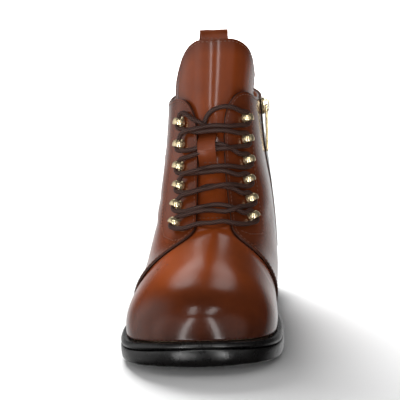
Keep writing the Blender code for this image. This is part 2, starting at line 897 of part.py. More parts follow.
# Places of the two runs that cross above each row but the lowest, from the lateral side: first the run that
# passes over, up to the medial hook above, then the run that passes under, down to the medial hook below
CROSSING_PLACES = (
    (
        ((-20.1, 12.35), (-12.9, 12.49), (-7.4, 12.63), (-2.9, 12.77), (4.1, 12.77), (9.7, 12.69),
         (15.3, 12.71), (20.3, 12.66)),
        ((-18.7, 12.57), (-14.0, 12.53), (-7.9, 12.47), (-2.9, 12.55), (4.1, 12.56), (9.8, 12.48),
         (14.8, 12.36), (18.8, 12.30)),
    ),
    (
        ((-15.4, 11.30), (-8.4, 11.51), (-2.4, 11.69), (3.7, 11.75), (8.1, 11.68), (14.4, 11.74),
         (20.3, 11.70)),
        ((-18.7, 11.60), (-13.5, 11.64), (-8.3, 11.76), (-2.4, 11.93), (3.7, 11.97), (6.8, 11.87),
         (10.9, 11.70), (14.4, 11.51), (18.5, 11.30)),
    ),
    (
        ((-18.0, 10.46), (-11.6, 10.58), (-7.2, 10.70), (-2.9, 10.93), (4.0, 10.95), (10.2, 10.88),
         (14.4, 10.80), (19.3, 10.69)),
        ((-17.2, 10.53), (-12.2, 10.60), (-5.7, 10.66), (-1.0, 10.77), (3.9, 10.75), (8.5, 10.64),
         (13.1, 10.48), (17.1, 10.38)),
    ),
    (
        ((-18.3, 9.49), (-11.2, 9.66), (-5.8, 9.84), (-1.1, 10.01), (4.0, 10.01), (9.9, 9.94),
         (15.3, 9.95), (20.2, 9.80)),
        ((-17.9, 9.64), (-12.9, 9.74), (-7.1, 9.91), (-3.3, 10.10), (1.1, 10.16), (6.2, 9.99),
         (11.5, 9.85), (15.2, 9.68), (19.6, 9.42)),
    ),
    (
        ((-21.5, 8.23), (-15.8, 8.53), (-9.6, 8.71), (-4.0, 8.86), (2.0, 8.89), (6.7, 8.66),
         (10.8, 8.67), (14.8, 8.69), (20.9, 8.71)),
        ((-20.4, 8.54), (-14.4, 8.78), (-8.3, 8.96), (-1.9, 9.22), (3.1, 9.19), (7.8, 8.98),
         (12.5, 8.78), (18.1, 8.46), (22.3, 8.18)),
    ),
)


def hook_mouth(row, side, end):
    """Point just above or below a hook, on its bore's axis."""
    ring, across = hook_place(row, side)
    up = directions(ring, across)[1]
    return skin(ring, across, HOOK_BORE_LIFT) + end * (HOOK_DEPTH / 2 + MOUTH_CLEAR) * up


def lace_lift(across, share, floor):
    """Height of a run's middle above the upper's surface, at a share of the way between its hooks."""
    sink = ease(1 - (abs(across) - SINK_END) / SINK_RUN)
    climb = ease((abs(share - 0.5) - CLIMB_START) / CLIMB_RUN)
    lift = LACE_OVER_QUARTER + (HOOK_BORE_LIFT - LACE_OVER_QUARTER) * climb
    return lift + (floor - LACE_OVER_QUARTER) * sink


def rise_over(across, ring, under_places):
    """Extra height at which a run lies on the run that it passes over."""
    other = np.interp(across, *zip(*under_places))
    apart = np.linalg.norm(skin(ring, across) - skin(other, across))
    return sqrt(max(0.0, (LACE_DIAMETER - LACE_BITE) ** 2 - apart**2))


def run_route(start, end, places, floor=LACE_ON_TONGUE, under_places=()):
    """Route from one hook's mouth across the lacing gap to another's: each is a row, a side and an end."""
    route = [hook_mouth(*start)]
    for count, (across, ring) in enumerate(places, 1):
        lift = lace_lift(across, count / (len(places) + 1), floor)
        if under_places:
            lift += rise_over(across, ring, under_places)
        route.append(skin(ring, across, lift))
    route.append(hook_mouth(*end))
    return route


def tube_mesh(name, route):
    """Round cord along a route, with flat ends."""
    route = np.array(route)
    along = np.gradient(route, axis=0)
    along = along / np.linalg.norm(along, axis=1)[:, None]
    side_way = np.cross(along[0], (0.0, 0.0, 1.0))
    points = []
    for centre, forward in zip(route, along):
        side_way = side_way - (side_way @ forward) * forward
        side_way = side_way / np.linalg.norm(side_way)
        other = np.cross(forward, side_way)
        for step in range(LACE_SIDES):
            turn = 2 * pi * step / LACE_SIDES
            points.append(centre + LACE_DIAMETER / 2 * (cos(turn) * side_way + sin(turn) * other))
    faces = []
    for level in range(len(route) - 1):
        for step in range(LACE_SIDES):
            onward = (step + 1) % LACE_SIDES
            low = level * LACE_SIDES
            high = low + LACE_SIDES
            faces.append((low + step, low + onward, high + onward, high + step))
    faces.append(tuple(reversed(range(LACE_SIDES))))
    faces.append(tuple(range((len(route) - 1) * LACE_SIDES, len(route) * LACE_SIDES)))
    return mesh_of(name, points, faces, closed=True)


def join_in(piece, addition):
    """Fuse a second solid into a piece."""
    addition.hide_render = True
    addition.display_type = "WIRE"
    union = piece.modifiers.new("union", "BOOLEAN")
    union.operation = "UNION"
    union.object = addition


def build_lace_bar():
    """Lowest run of the lace, between the bottom mouths of the last hooks."""
    last = len(HOOKS) - 1
    route = run_route((last, OUTER, -1), (last, INNER, -1), BAR_PLACES, floor=LACE_ON_VAMP)
    finish("lace_bar", tube_mesh("lace_bar", route), CORD)


def build_lace_crossing(row):
    """Two runs that cross between one row of hooks and the row above."""
    name = f"lace_crossing_{row}"
    over_places, under_places = CROSSING_PLACES[row - 1]
    over = run_route((row, OUTER, 1), (row - 1, INNER, -1), over_places, under_places=under_places)
    under = run_route((row - 1, OUTER, -1), (row, INNER, 1), under_places)
    piece = finish(name, tube_mesh(name, over), CORD)
    lower = finish(f"{name}_lower", tube_mesh(f"{name}_lower", under), CORD)
    join_in(piece, lower)


# Tucked ends past the top hooks: ring, distance from the ridge, height above the upper's surface
OUTER_END = (
    (13.28, -19.4, 4.6),
    (13.24, -16.0, 4.1),
    (13.10, -12.8, 3.8),
    (13.00, -10.4, 3.7),
    (12.93, -8.0, 3.5),
    (12.90, -5.8, 2.4),
)
INNER_END = (
    (13.20, 18.4, 4.6),
    (13.40, 13.4, 4.0),
    (13.52, 8.1, 3.4),
    (13.50, 4.0, 1.6),
    (13.40, -0.5, 0.6),
    (13.20, -3.6, 0.2),
    (13.06, -4.6, 0.2),
)


def build_lace_end(name, side, places):
    route = [hook_mouth(0, side, 1)] + [skin(*place) for place in places]
    line = bpy.data.curves.new(name, "CURVE")
    line.dimensions = "3D"
    line.bevel_depth = LACE_DIAMETER / 2 * MM
    line.bevel_resolution = 2
    line.use_fill_caps = True
    spline = line.splines.new("POLY")
    spline.points.add(len(route) - 1)
    for point, place in zip(spline.points, route):
        point.co = (*(place * MM), 1.0)
    finish(name, line, CORD)


# Zip

ZIP_SLACK = 0.1
TAPE_HALF = ZIP_SLOT_HALF - GAP - ZIP_SLACK
TAPE_BOTTOM_GAP = 0.06
TAPE_TOP_GAP = 0.03
CHAIN_HALF = 2.2
CHAIN_SLOPE = 0.3
TAPE_LIFT = GAP + ZIP_SLACK
TAPE_TOP = 0.9
CHAIN_TOP = 1.9
# Section of tape and chain: distance from the zip's line, height above the upper's surface
ZIP_SECTION = (
    (-TAPE_HALF, TAPE_LIFT),
    (-TAPE_HALF, TAPE_TOP),
    (-CHAIN_HALF - CHAIN_SLOPE, TAPE_TOP),
    (-CHAIN_HALF, CHAIN_TOP),
    (CHAIN_HALF, CHAIN_TOP),
    (CHAIN_HALF + CHAIN_SLOPE, TAPE_TOP),
    (TAPE_HALF, TAPE_TOP),
    (TAPE_HALF, TAPE_LIFT),
)


def build_zip_tape():
    middle = side_columns(INNER)[INNER_COLUMNS[0] + 1]
    rings = [column_ring(row, INNER, middle) for row in range(ROWS)]
    rings = [ring for ring in rings if ring >= ZIP_BOTTOM_RING]
    rings[0] += TAPE_BOTTOM_GAP
    rings[-1] -= TAPE_TOP_GAP
    points = [skin(ring, zip_distance(ring) + offset, lift) for ring in rings for offset, lift in ZIP_SECTION]
    count = len(ZIP_SECTION)
    faces = [tuple(range(count)), tuple(reversed(range((len(rings) - 1) * count, len(rings) * count)))]
    for level in range(len(rings) - 1):
        for step in range(count):
            onward = (step + 1) % count
            low = level * count
            high = low + count
            faces.append((low + onward, low + step, high + step, high + onward))
    finish("zip_tape", mesh_of("zip_tape", points, faces, closed=True), TAPE)


def zip_frame():
    """Place of the slider on the zip and the vectors down the boot's side, along the foot and out."""
    here = skin(SLIDER_RING, zip_distance(SLIDER_RING))
    above = skin(SLIDER_RING + 0.2, zip_distance(SLIDER_RING + 0.2))
    out = directions(SLIDER_RING, zip_distance(SLIDER_RING))[2]
    up = above - here
    up = up - (up @ out) * out
    up = up / np.linalg.norm(up)
    return here, up, np.cross(up, out), out


def prism(name, outline, depth, axes):
    """Solid from a flat outline, its two directions and the direction it is extruded in, both ways."""
    origin, first, second, through = axes
    count = len(outline)
    points = [
        origin + a * first + b * second + end * depth / 2 * through
        for end in (-1, 1)
        for a, b in outline
    ]
    faces = [tuple(range(count)), tuple(reversed(range(count, 2 * count)))]
    for step in range(count):
        onward = (step + 1) % count
        faces.append((onward, step, count + step, count + onward))
    return mesh_of(name, points, faces, closed=True)


SLIDER_LIFT = CHAIN_TOP + GAP + ZIP_SLACK
SLIDER_TOP = SLIDER_LIFT + SLIDER_PLATE
PIVOT_LIFT = SLIDER_TOP + BRIDGE_CLEARANCE / 2
# Side of the slider's plate from its tail to its head: share of the height, share of the width
SLIDER_SIDE = ((-0.50, 0.28), (-0.36, 0.40), (0.21, 0.50), (0.40, 0.50), (0.50, 0.35))


def both_sides(points):
    """Closed outline from one side's points, mirrored across the first direction."""
    return [(a, b) for a, b in points] + [(a, -b) for a, b in reversed(points)]


def both_ends(points):
    """Open line from one end's points, mirrored across the second direction."""
    return [(-a, b) for a, b in points] + [(a, b) for a, b in reversed(points)]


def build_zip_slider():
    """Plate over the chain with the bridge that carries the puller."""
    here, up, back, out = zip_frame()
    plate = both_sides([(SLIDER_HEIGHT * along, SLIDER_WIDTH * across) for along, across in SLIDER_SIDE])
    middle = here + (SLIDER_LIFT + SLIDER_PLATE / 2) * out
    piece = finish("zip_slider", prism("zip_slider", plate, SLIDER_PLATE, (middle, up, back, out)), GILT)
    foot = BRIDGE_HALF_LENGTH
    over = [(foot, -BRIDGE_SUNK), (foot, BRIDGE_SHOULDER), (BRIDGE_TOP_HALF, BRIDGE_CLEARANCE + BRIDGE_WALL)]
    inner_foot = foot - BRIDGE_WALL
    under = [
        (inner_foot, -BRIDGE_SUNK),
        (inner_foot, BRIDGE_SHOULDER),
        (BRIDGE_TOP_HALF - BRIDGE_WALL / 2, BRIDGE_CLEARANCE),
    ]
    bridge = both_ends(over) + both_ends(under)[::-1]
    base = here + SLIDER_TOP * out
    arch = finish("zip_bridge", prism("zip_bridge", bridge, BRIDGE_WIDTH, (base, up, out, back)), GILT)
    join_in(piece, arch)


PULLER_REST_LIFT = QUARTER_TOP_LIFT + GAP + ZIP_SLACK + PULLER_THICKNESS / 2
PULLER_BAR = 0.8
PULLER_CORNER = 1.0
PULLER_SEARCH_STEP = 0.02


def puller_frame():
    """Pivot of the puller, its direction at rest, its hinge's direction and its own face."""
    here, up, back, out = zip_frame()
    pivot = here + PIVOT_LIFT * out
    ring = SLIDER_RING
    tip = pivot
    while np.linalg.norm(tip - pivot) < PULLER_LENGTH:
        ring -= PULLER_SEARCH_STEP
        tip = skin(ring, zip_distance(ring), PULLER_REST_LIFT)
    down = tip - pivot
    down = down - (down @ back) * back
    down = down / np.linalg.norm(down)
    return pivot, down, back, np.cross(down, back)


def build_zip_puller():
    """Flat bar with a square eye; its origin is on the hinge's axis."""
    pivot, down, back, face = puller_frame()
    half = PULLER_WIDTH / 2
    bar = both_sides([
        (-PULLER_BAR, half),
        (PULLER_LENGTH - PULLER_CORNER, half),
        (PULLER_LENGTH, half - PULLER_CORNER),
    ])
    eye = both_sides([(PULLER_BAR, PULLER_EYE_WIDTH / 2), (PULLER_EYE_LENGTH, PULLER_EYE_WIDTH / 2)])
    axes = (np.zeros(3), down, back, face)
    piece = finish("zip_puller", prism("zip_puller", bar, PULLER_THICKNESS, axes), GILT)
    cutter = finish("puller_eye", prism("puller_eye", eye, 2 * PULLER_THICKNESS, axes), GILT)
    cutter.hide_render = True
    cutter.display_type = "WIRE"
    cut = piece.modifiers.new("eye", "BOOLEAN")
    cut.operation = "DIFFERENCE"
    cut.object = cutter
    for part in (piece, cutter):
        part.location = Vector(pivot) * MM


for old in list(bpy.data.objects):
    bpy.data.objects.remove(old)
build_outsole()
build_midsole()
build_heel()
build_insole()
build_upper()
build_quarter("quarter_lateral", OUTER)
build_quarter("quarter_medial", INNER)
build_tongue()
build_tongue_loop()
build_pull_loop()
for hook_row in range(len(HOOKS)):
    build_hook(f"hook_lateral_{hook_row + 1}", hook_row, OUTER)
    build_hook(f"hook_medial_{hook_row + 1}", hook_row, INNER)
build_lace_bar()
for hook_row in range(1, len(HOOKS)):
    build_lace_crossing(hook_row)
build_lace_end("lace_end_lateral", OUTER, OUTER_END)
build_lace_end("lace_end_medial", INNER, INNER_END)
build_zip_tape()
build_zip_slider()
build_zip_puller()
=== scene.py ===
"""Looks of the lace-up boot: burnished leather, gilt hooks and zip, woven lace, dark rubber sole."""
from math import cos, pi, radians, sin

import bmesh
import bpy
import numpy as np
from mathutils import Matrix, Vector
from mathutils.bvhtree import BVHTree
from mathutils.kdtree import KDTree


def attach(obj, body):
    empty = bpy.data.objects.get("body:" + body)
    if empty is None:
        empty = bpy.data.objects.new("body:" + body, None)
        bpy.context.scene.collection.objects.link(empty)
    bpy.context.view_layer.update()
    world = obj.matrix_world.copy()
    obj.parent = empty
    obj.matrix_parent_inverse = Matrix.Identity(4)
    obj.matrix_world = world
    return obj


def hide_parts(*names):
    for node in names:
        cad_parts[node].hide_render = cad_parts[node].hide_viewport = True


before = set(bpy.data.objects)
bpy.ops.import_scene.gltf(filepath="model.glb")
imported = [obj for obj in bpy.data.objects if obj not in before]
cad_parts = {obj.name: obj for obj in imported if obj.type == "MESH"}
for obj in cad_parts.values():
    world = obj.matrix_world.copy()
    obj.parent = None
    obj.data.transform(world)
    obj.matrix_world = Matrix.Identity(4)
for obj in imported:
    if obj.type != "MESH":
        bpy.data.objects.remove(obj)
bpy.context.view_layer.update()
# Sizes are in millimetres, but the camera, the floor and the lights are placed in metres
MM = 0.001
BOOT = "boot"
PULLER = "zip_puller"
SIDES = ("lateral", "medial")

# Camera

CAMERA_AZIMUTH = radians(5.0)
CAMERA_ELEVATION = radians(10.0)
CAMERA_ROLL = radians(2.4)
CAMERA_DISTANCE = 1.4
CAMERA_TARGET = Vector((0.0, -0.050, 0.090))
FRAME_PIXELS = 400
SENSOR_WIDTH = 36.0
# Pixels per unit of slope in the photograph, the target's place in it, and how much larger the boot is shown
PHOTO_FOCAL = 1918.0
PHOTO_CENTRE = (118.0, 184.5)
ENLARGEMENT = 1.19


def camera_axes():
    """Camera's place and its right, up and backward directions."""
    level = cos(CAMERA_ELEVATION)
    back = Vector((sin(CAMERA_AZIMUTH) * level, -cos(CAMERA_AZIMUTH) * level, sin(CAMERA_ELEVATION)))
    right = Vector((cos(CAMERA_AZIMUTH), sin(CAMERA_AZIMUTH), 0.0))
    up = back.cross(right)
    rolled_right = right * cos(CAMERA_ROLL) - up * sin(CAMERA_ROLL)
    rolled_up = right * sin(CAMERA_ROLL) + up * cos(CAMERA_ROLL)
    return CAMERA_TARGET + back * CAMERA_DISTANCE, rolled_right, rolled_up, back


def make_camera():
    """Camera at the photograph's angle, with the boot a little larger than it is there."""
    place, right, up, back = camera_axes()
    lens = bpy.data.cameras.new("camera")
    lens.sensor_width = SENSOR_WIDTH
    lens.lens = PHOTO_FOCAL * ENLARGEMENT * SENSOR_WIDTH / FRAME_PIXELS
    camera = bpy.data.objects.new("camera", lens)
    turn = Matrix((right, up, back)).transposed().to_4x4()
    camera.matrix_world = Matrix.Translation(place) @ turn
    bpy.context.scene.collection.objects.link(camera)
    bpy.context.scene.camera = camera


def sight(x, y):
    """Camera's place and the direction of a place in the photograph."""
    place, right, up, back = camera_axes()
    across = (x - PHOTO_CENTRE[0]) / PHOTO_FOCAL
    above = (PHOTO_CENTRE[1] - y) / PHOTO_FOCAL
    return place, (right * across + up * above - back).normalized()


# Shared tools

CURVE_STEPS = 24
# Distance at which vertices are merged, and angle up to which a CAD node's triangles are joined
MERGE_DISTANCE = 0.01
PAIR_ANGLE = 60.0
# Angle from which an edge is shaded sharp
SHARP_ANGLE = 40.0


def smooth_step(low, high, value):
    """Smooth change from 0 at the first value to 1 at the second."""
    share = np.clip((np.asarray(value, float) - low) / (high - low), 0.0, 1.0)
    return share * share * (3 - 2 * share)


def curve_points(points, spacing):
    """Evenly spaced points on a smooth curve through the given ones."""
    points = np.array(points, float)
    padded = np.vstack([2 * points[0] - points[1], points, 2 * points[-1] - points[-2]])
    fine = []
    for first in range(len(points) - 1):
        p0, p1, p2, p3 = padded[first:first + 4]
        for t in np.linspace(0.0, 1.0, CURVE_STEPS, endpoint=False):
            fine.append(0.5 * (
                2 * p1 + (p2 - p0) * t + (2 * p0 - 5 * p1 + 4 * p2 - p3) * t**2
                + (3 * p1 - p0 - 3 * p2 + p3) * t**3))
    fine.append(points[-1])
    return even_points(np.array(fine), spacing)


def even_points(line, spacing):
    """Points at an even distance along a polyline."""
    lengths = np.concatenate([[0.0], np.cumsum(np.linalg.norm(np.diff(line, axis=0), axis=1))])
    count = max(2, int(round(lengths[-1] / spacing)) + 1)
    at = np.linspace(0.0, lengths[-1], count)
    return np.column_stack([np.interp(at, lengths, line[:, axis]) for axis in range(3)])


def copy_of(node):
    """Merged copy of a CAD node, with pairs of triangles joined again."""
    bm = bmesh.new()
    bm.from_mesh(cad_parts[node].data)
    bmesh.ops.remove_doubles(bm, verts=bm.verts, dist=MERGE_DISTANCE * MM)
    bmesh.ops.join_triangles(
        bm, faces=bm.faces, angle_face_threshold=radians(PAIR_ANGLE),
        angle_shape_threshold=radians(PAIR_ANGLE))
    return bm


def new_piece(name, bm, materials, body=BOOT, nodes=(), sharp=SHARP_ANGLE):
    """Object from a bmesh that rides on a body and takes the given materials."""
    mesh = bpy.data.meshes.new(name)
    bm.to_mesh(mesh)
    bm.free()
    mesh.shade_smooth()
    mesh.set_sharp_from_angle(angle=radians(sharp))
    for material in materials:
        mesh.materials.append(material)
    piece = bpy.data.objects.new(name, mesh)
    bpy.context.scene.collection.objects.link(piece)
    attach(piece, body)
    if nodes:
        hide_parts(*nodes)
    return piece


def crease_edges(bm, angle):
    """Keeps the edges that fold by more than an angle sharp when the piece is smoothed."""
    layer = bm.edges.layers.float.get("crease_edge") or bm.edges.layers.float.new("crease_edge")
    for edge in bm.edges:
        if len(edge.link_faces) == 2 and edge.calc_face_angle() > radians(angle):
            edge[layer] = 1.0


def subdivide(piece, levels):
    modifier = piece.modifiers.new("smooth", "SUBSURF")
    modifier.levels = modifier.render_levels = levels


def round_edges(piece, width, segments, angle):
    """Rounds the edges that fold by more than an angle, by a width in millimetres."""
    modifier = piece.modifiers.new("rounded", "BEVEL")
    modifier.width = width * MM
    modifier.segments = segments
    modifier.limit_method = "ANGLE"
    modifier.angle_limit = radians(angle)


def settle(piece, sharp=SHARP_ANGLE):
    """Applies a piece's modifiers to its mesh."""
    graph = bpy.context.evaluated_depsgraph_get()
    mesh = bpy.data.meshes.new_from_object(piece.evaluated_get(graph))
    old = piece.data
    piece.modifiers.clear()
    piece.data = mesh
    name = old.name
    bpy.data.meshes.remove(old)
    mesh.name = name
    mesh.shade_smooth()
    mesh.set_sharp_from_angle(angle=radians(sharp))


def laid(place, side, along, out, size):
    """Matrix that lays a unit shape at a place, with its size in millimetres along three directions."""
    turn = Matrix((side, along, out)).transposed().to_4x4()
    return Matrix.Translation(place) @ turn @ Matrix.Diagonal((*(value * MM for value in size), 1.0))


def vertex_places(mesh):
    places = np.empty(len(mesh.vertices) * 3)
    mesh.vertices.foreach_get("co", places)
    return places.reshape(-1, 3)


def set_attribute(mesh, name, values):
    layer = mesh.attributes.new(name, "FLOAT", "POINT")
    layer.data.foreach_set("value", np.asarray(values, np.float32))


# Materials

NOISE_ROUGHNESS = 0.55
# Values between which most of a noise lies
NOISE_SPAN = (0.3, 0.7)


class Finish:
    """A material under construction: its nodes and its main shader."""

    def __init__(self, name, colour, roughness, metallic=0.0):
        self.material = bpy.data.materials.new(name)
        self.material.use_nodes = True
        self.tree = self.material.node_tree
        self.shader = self.tree.nodes["Principled BSDF"]
        self.put("Base Color", (*colour, 1.0))
        self.put("Roughness", roughness)
        self.put("Metallic", metallic)

    def put(self, socket, value):
        self.shader.inputs[socket].default_value = value

    def node(self, kind, **values):
        node = self.tree.nodes.new(kind)
        for name, value in values.items():
            setattr(node, name, value)
        return node

    def link(self, source, target):
        self.tree.links.new(source, target)

    def place(self, stretch=None):
        """Place on the object, or that place stretched along the axes."""
        place = self.node("ShaderNodeTexCoord").outputs["Object"]
        if stretch is None:
            return place
        mapping = self.node("ShaderNodeMapping")
        mapping.inputs["Scale"].default_value = stretch
        self.link(place, mapping.inputs["Vector"])
        return mapping.outputs["Vector"]

    def noise(self, scale, detail, stretch=None):
        texture = self.node("ShaderNodeTexNoise")
        texture.inputs["Scale"].default_value = scale
        texture.inputs["Detail"].default_value = detail
        texture.inputs["Roughness"].default_value = NOISE_ROUGHNESS
        self.link(self.place(stretch), texture.inputs["Vector"])
        return texture.outputs["Fac"]

    def cells(self, scale):
        texture = self.node("ShaderNodeTexVoronoi")
        texture.inputs["Scale"].default_value = scale
        self.link(self.place(), texture.inputs["Vector"])
        return texture.outputs["Distance"]

    def attribute(self, name):
        return self.node("ShaderNodeAttribute", attribute_name=name).outputs["Fac"]

    def tint(self, source, stops):
        """Base colour that follows a value from stop to stop."""
        ramp = self.node("ShaderNodeValToRGB")
        elements = ramp.color_ramp.elements
        while len(elements) < len(stops):
            elements.new(0.5)
        for element, (position, colour) in zip(elements, stops):
            element.position = position
            element.color = (*colour, 1.0)
        self.link(source, ramp.inputs["Fac"])
        self.link(ramp.outputs["Color"], self.shader.inputs["Base Color"])

    def spread(self, noise, low, high):
        """Noise brought between two values."""
        node = self.node("ShaderNodeMapRange")
        sockets = ("From Min", "From Max", "To Min", "To Max")
        for socket, value in zip(sockets, (*NOISE_SPAN, low, high)):
            node.inputs[socket].default_value = value
        self.link(noise, node.inputs["Value"])
        return node.outputs["Result"]

    def gloss(self, noise, low, high):
        """Roughness that wanders between two values."""
        self.link(self.spread(noise, low, high), self.shader.inputs["Roughness"])

    def maths(self, operation, first, second):
        node = self.node("ShaderNodeMath", operation=operation)
        for socket, value in zip(node.inputs, (first, second)):
            if isinstance(value, (int, float)):
                socket.default_value = value
            else:
                self.link(value, socket)
        return node.outputs["Value"]

    def bump(self, height, distance, strength=1.0):
        """Adds a layer of relief, with its depth in millimetres."""
        node = self.node("ShaderNodeBump")
        node.inputs["Distance"].default_value = distance * MM
        node.inputs["Strength"].default_value = strength
        self.link(height, node.inputs["Height"])
        normal = self.shader.inputs["Normal"]
        if normal.is_linked:
            self.link(normal.links[0].from_socket, node.inputs["Normal"])
        self.link(node.outputs["Normal"], normal)


TAN = (0.325, 0.063, 0.0115)
MID_BROWN = (0.185, 0.037, 0.0085)
DARK_BROWN = (0.034, 0.0095, 0.0050)
# Near black of the painted shadow beside the rims of panels that lie over the leather
SHADOW_BLACK = (0.003, 0.0016, 0.0012)
# How far the tone wanders from spot to spot
MOTTLE = 0.09
GRAIN_CELLS = 1100.0


def leather(name, light=TAN, roughness=(0.17, 0.23), coat=0.4):
    """Smooth burnished leather: tan in the middle of a panel and dark where it was polished at its edges,
    with painted shade over whole panels and painted shadow beside the rims of panels above.
    """
    finish = Finish(name, MID_BROWN, roughness[0])
    mottle = finish.spread(finish.noise(38.0, 4.0), -MOTTLE, MOTTLE)
    tone = finish.maths("ADD", finish.attribute("burnish_and_shade"), mottle)
    # Painted shadow beside the rims of the panels that lie over this one, which turns the leather near black
    shaded = finish.maths("ADD", tone, finish.attribute("painted_shadow"))
    half = finish.maths("MULTIPLY", shaded, 0.5)
    finish.tint(half, ((0.0, light), (0.21, MID_BROWN), (0.5, DARK_BROWN), (0.9, SHADOW_BLACK)))
    finish.gloss(finish.noise(120.0, 3.0), *roughness)
    finish.put("Specular IOR Level", 0.22)
    finish.put("Coat Weight", coat)
    finish.put("Coat Roughness", 0.14)
    finish.bump(finish.noise(520.0, 4.0), 0.055)
    finish.bump(finish.cells(GRAIN_CELLS), 0.065, 0.5)
    return finish.material


def cut_edge():
    """Painted edge of a leather panel, darker than its face."""
    finish = Finish("cut_edge", (0.06, 0.019, 0.010), 0.5)
    stops = ((0.35, (0.035, 0.011, 0.006)), (0.65, (0.09, 0.028, 0.014)))
    finish.tint(finish.noise(600.0, 3.0), stops)
    finish.bump(finish.noise(1500.0, 3.0), 0.08)
    return finish.material


def lining_leather():
    """Matt lining, paler than the outside."""
    finish = Finish("lining_leather", (0.30, 0.105, 0.048), 0.58)
    stops = ((0.35, (0.24, 0.078, 0.035)), (0.65, (0.33, 0.115, 0.052)))
    finish.tint(finish.noise(60.0, 4.0), stops)
    finish.bump(finish.cells(900.0), 0.06, 0.6)
    return finish.material


def thread(name, colour, dark):
    """Sewing thread with a little fuzz."""
    finish = Finish(name, colour, 0.6)
    finish.tint(finish.noise(1800.0, 2.0), ((0.35, dark), (0.65, colour)))
    finish.bump(finish.noise(3000.0, 2.0), 0.05)
    return finish.material


def satin_rubber(name, colour, dark):
    """Moulded rubber or plastic with a soft shine."""
    finish = Finish(name, colour, 0.5)
    finish.tint(finish.noise(90.0, 4.0), ((0.3, dark), (0.7, colour)))
    finish.gloss(finish.noise(240.0, 3.0), 0.24, 0.34)
    finish.bump(finish.noise(900.0, 3.0), 0.05)
    return finish.material


def gilt_metal():
    """Polished pale gilt with a faint film of handling."""
    finish = Finish("gilt_metal", (0.92, 0.74, 0.43), 0.15, 0.82)
    finish.tint(finish.noise(300.0, 3.0), ((0.3, (0.90, 0.71, 0.40)), (0.7, (0.98, 0.82, 0.53))))
    finish.gloss(finish.noise(420.0, 4.0), 0.16, 0.22)
    return finish.material


def woven_cord():
    """Dark brown cord, with painted shade in the gaps between its strands and the strands' crowns painted
    lighter.
    """
    finish = Finish("woven_cord", (0.058, 0.024, 0.016), 0.55)
    stops = ((0.50, (0.007, 0.0028, 0.0022)), (0.95, (0.105, 0.043, 0.029)))
    # Painted shade: the strands' height turns nearly black in the braid's hollows and lighter on its crowns
    finish.tint(finish.attribute("strand"), stops)
    finish.put("Specular IOR Level", 0.35)
    finish.bump(finish.noise(2600.0, 2.0), 0.08)
    return finish.material


def zip_fabric(name, colour):
    """Matt woven tape, with its threads along and across it."""
    finish = Finish(name, colour, 0.75)
    dark = tuple(0.5 * value for value in colour)
    finish.tint(finish.noise(700.0, 3.0, stretch=(1.0, 3.0, 1.0)), ((0.3, dark), (0.7, colour)))
    finish.bump(finish.noise(1600.0, 2.0, stretch=(1.0, 1.0, 3.0)), 0.12)
    return finish.material


def fibre_board():
    """Pressed board of the insole."""
    finish = Finish("fibre_board", (0.42, 0.30, 0.20), 0.8)
    finish.tint(finish.noise(180.0, 4.0), ((0.3, (0.34, 0.22, 0.14)), (0.7, (0.46, 0.33, 0.22))))
    finish.bump(finish.noise(900.0, 3.0), 0.1)
    return finish.material


LEATHER = leather("burnished_leather")
STRAP_LEATHER = leather("strap_leather", light=(0.24, 0.048, 0.010), roughness=(0.34, 0.44), coat=0.08)
CUT_EDGE = cut_edge()
LINING = lining_leather()
EDGE_THREAD = thread("edge_thread", (0.24, 0.085, 0.045), (0.14, 0.045, 0.024))
WELT_THREAD = thread("welt_thread", (0.075, 0.022, 0.014), (0.03, 0.010, 0.008))
SOLE_RUBBER = satin_rubber("sole_rubber", (0.0085, 0.0078, 0.0076), (0.006, 0.0055, 0.0055))
HEEL_RUBBER = satin_rubber("heel_rubber", (0.010, 0.010, 0.011), (0.007, 0.007, 0.008))
GILT = gilt_metal()
CORD = woven_cord()
ZIP_TAPE = zip_fabric("zip_tape_fabric", (0.030, 0.016, 0.012))
ZIP_TEETH = satin_rubber("zip_teeth", (0.055, 0.027, 0.019), (0.030, 0.015, 0.011))
BOARD = fibre_board()

# Leather pieces

OUTSIDE, INSIDE, RIM = 0, 1, 2
# A panel's rim lies between two folds of at least this angle and is narrower than this width
FOLD_ANGLE = 50.0
RIM_WIDTH = 2.3
TONGUE_RIM_WIDTH = 2.6
LEATHER_ROUNDING = 0.35
LEATHER_SHARP = 60.0
# Fewest points of a rim that is more than a corner
SHORTEST_RIM = 4
# Line through the middle of the foot's room: a face that looks towards it is on the inside
FOOT_ROOM = np.array([
    (2, -112, 26), (0, -80, 32), (0, -40, 42), (2, 10, 60), (3, 60, 75), (3, 75, 110), (3, 75, 190),
], float)
FOOT_ROOM_STEP = 6.0
FOOT_ROOM_LINE = even_points(FOOT_ROOM, FOOT_ROOM_STEP) * MM


def room_direction(place):
    """From the nearest point of the room's middle line to a place."""
    apart = np.array(place) - FOOT_ROOM_LINE
    return Vector(apart[np.argmin(np.linalg.norm(apart, axis=1))])


def mark_sides(bm, rim_width):
    """Material of each face: outside, inside, or the rim between two sharp edges."""
    for face in bm.faces:
        inner = [edge for edge in face.edges if len(edge.link_faces) == 2]
        folds = [edge for edge in inner if edge.calc_face_angle() > radians(FOLD_ANGLE)]
        narrow = min(edge.calc_length() for edge in face.edges) < rim_width * MM
        if len(folds) >= 2 and narrow:
            face.material_index = RIM
        elif face.normal.dot(room_direction(face.calc_center_median())) < 0:
            face.material_index = INSIDE
        else:
            face.material_index = OUTSIDE


def leather_piece(node, bm, materials, levels=2, rim_width=RIM_WIDTH, rounding=LEATHER_ROUNDING):
    """Panel that takes a node's place, smoothed, with its rims rounded."""
    mark_sides(bm, rim_width)
    crease_edges(bm, FOLD_ANGLE)
    piece = new_piece(f"leather_{node}", bm, materials, nodes=(node,))
    subdivide(piece, levels)
    round_edges(piece, rounding, 2, FOLD_ANGLE)
    settle(piece, LEATHER_SHARP)
    return piece


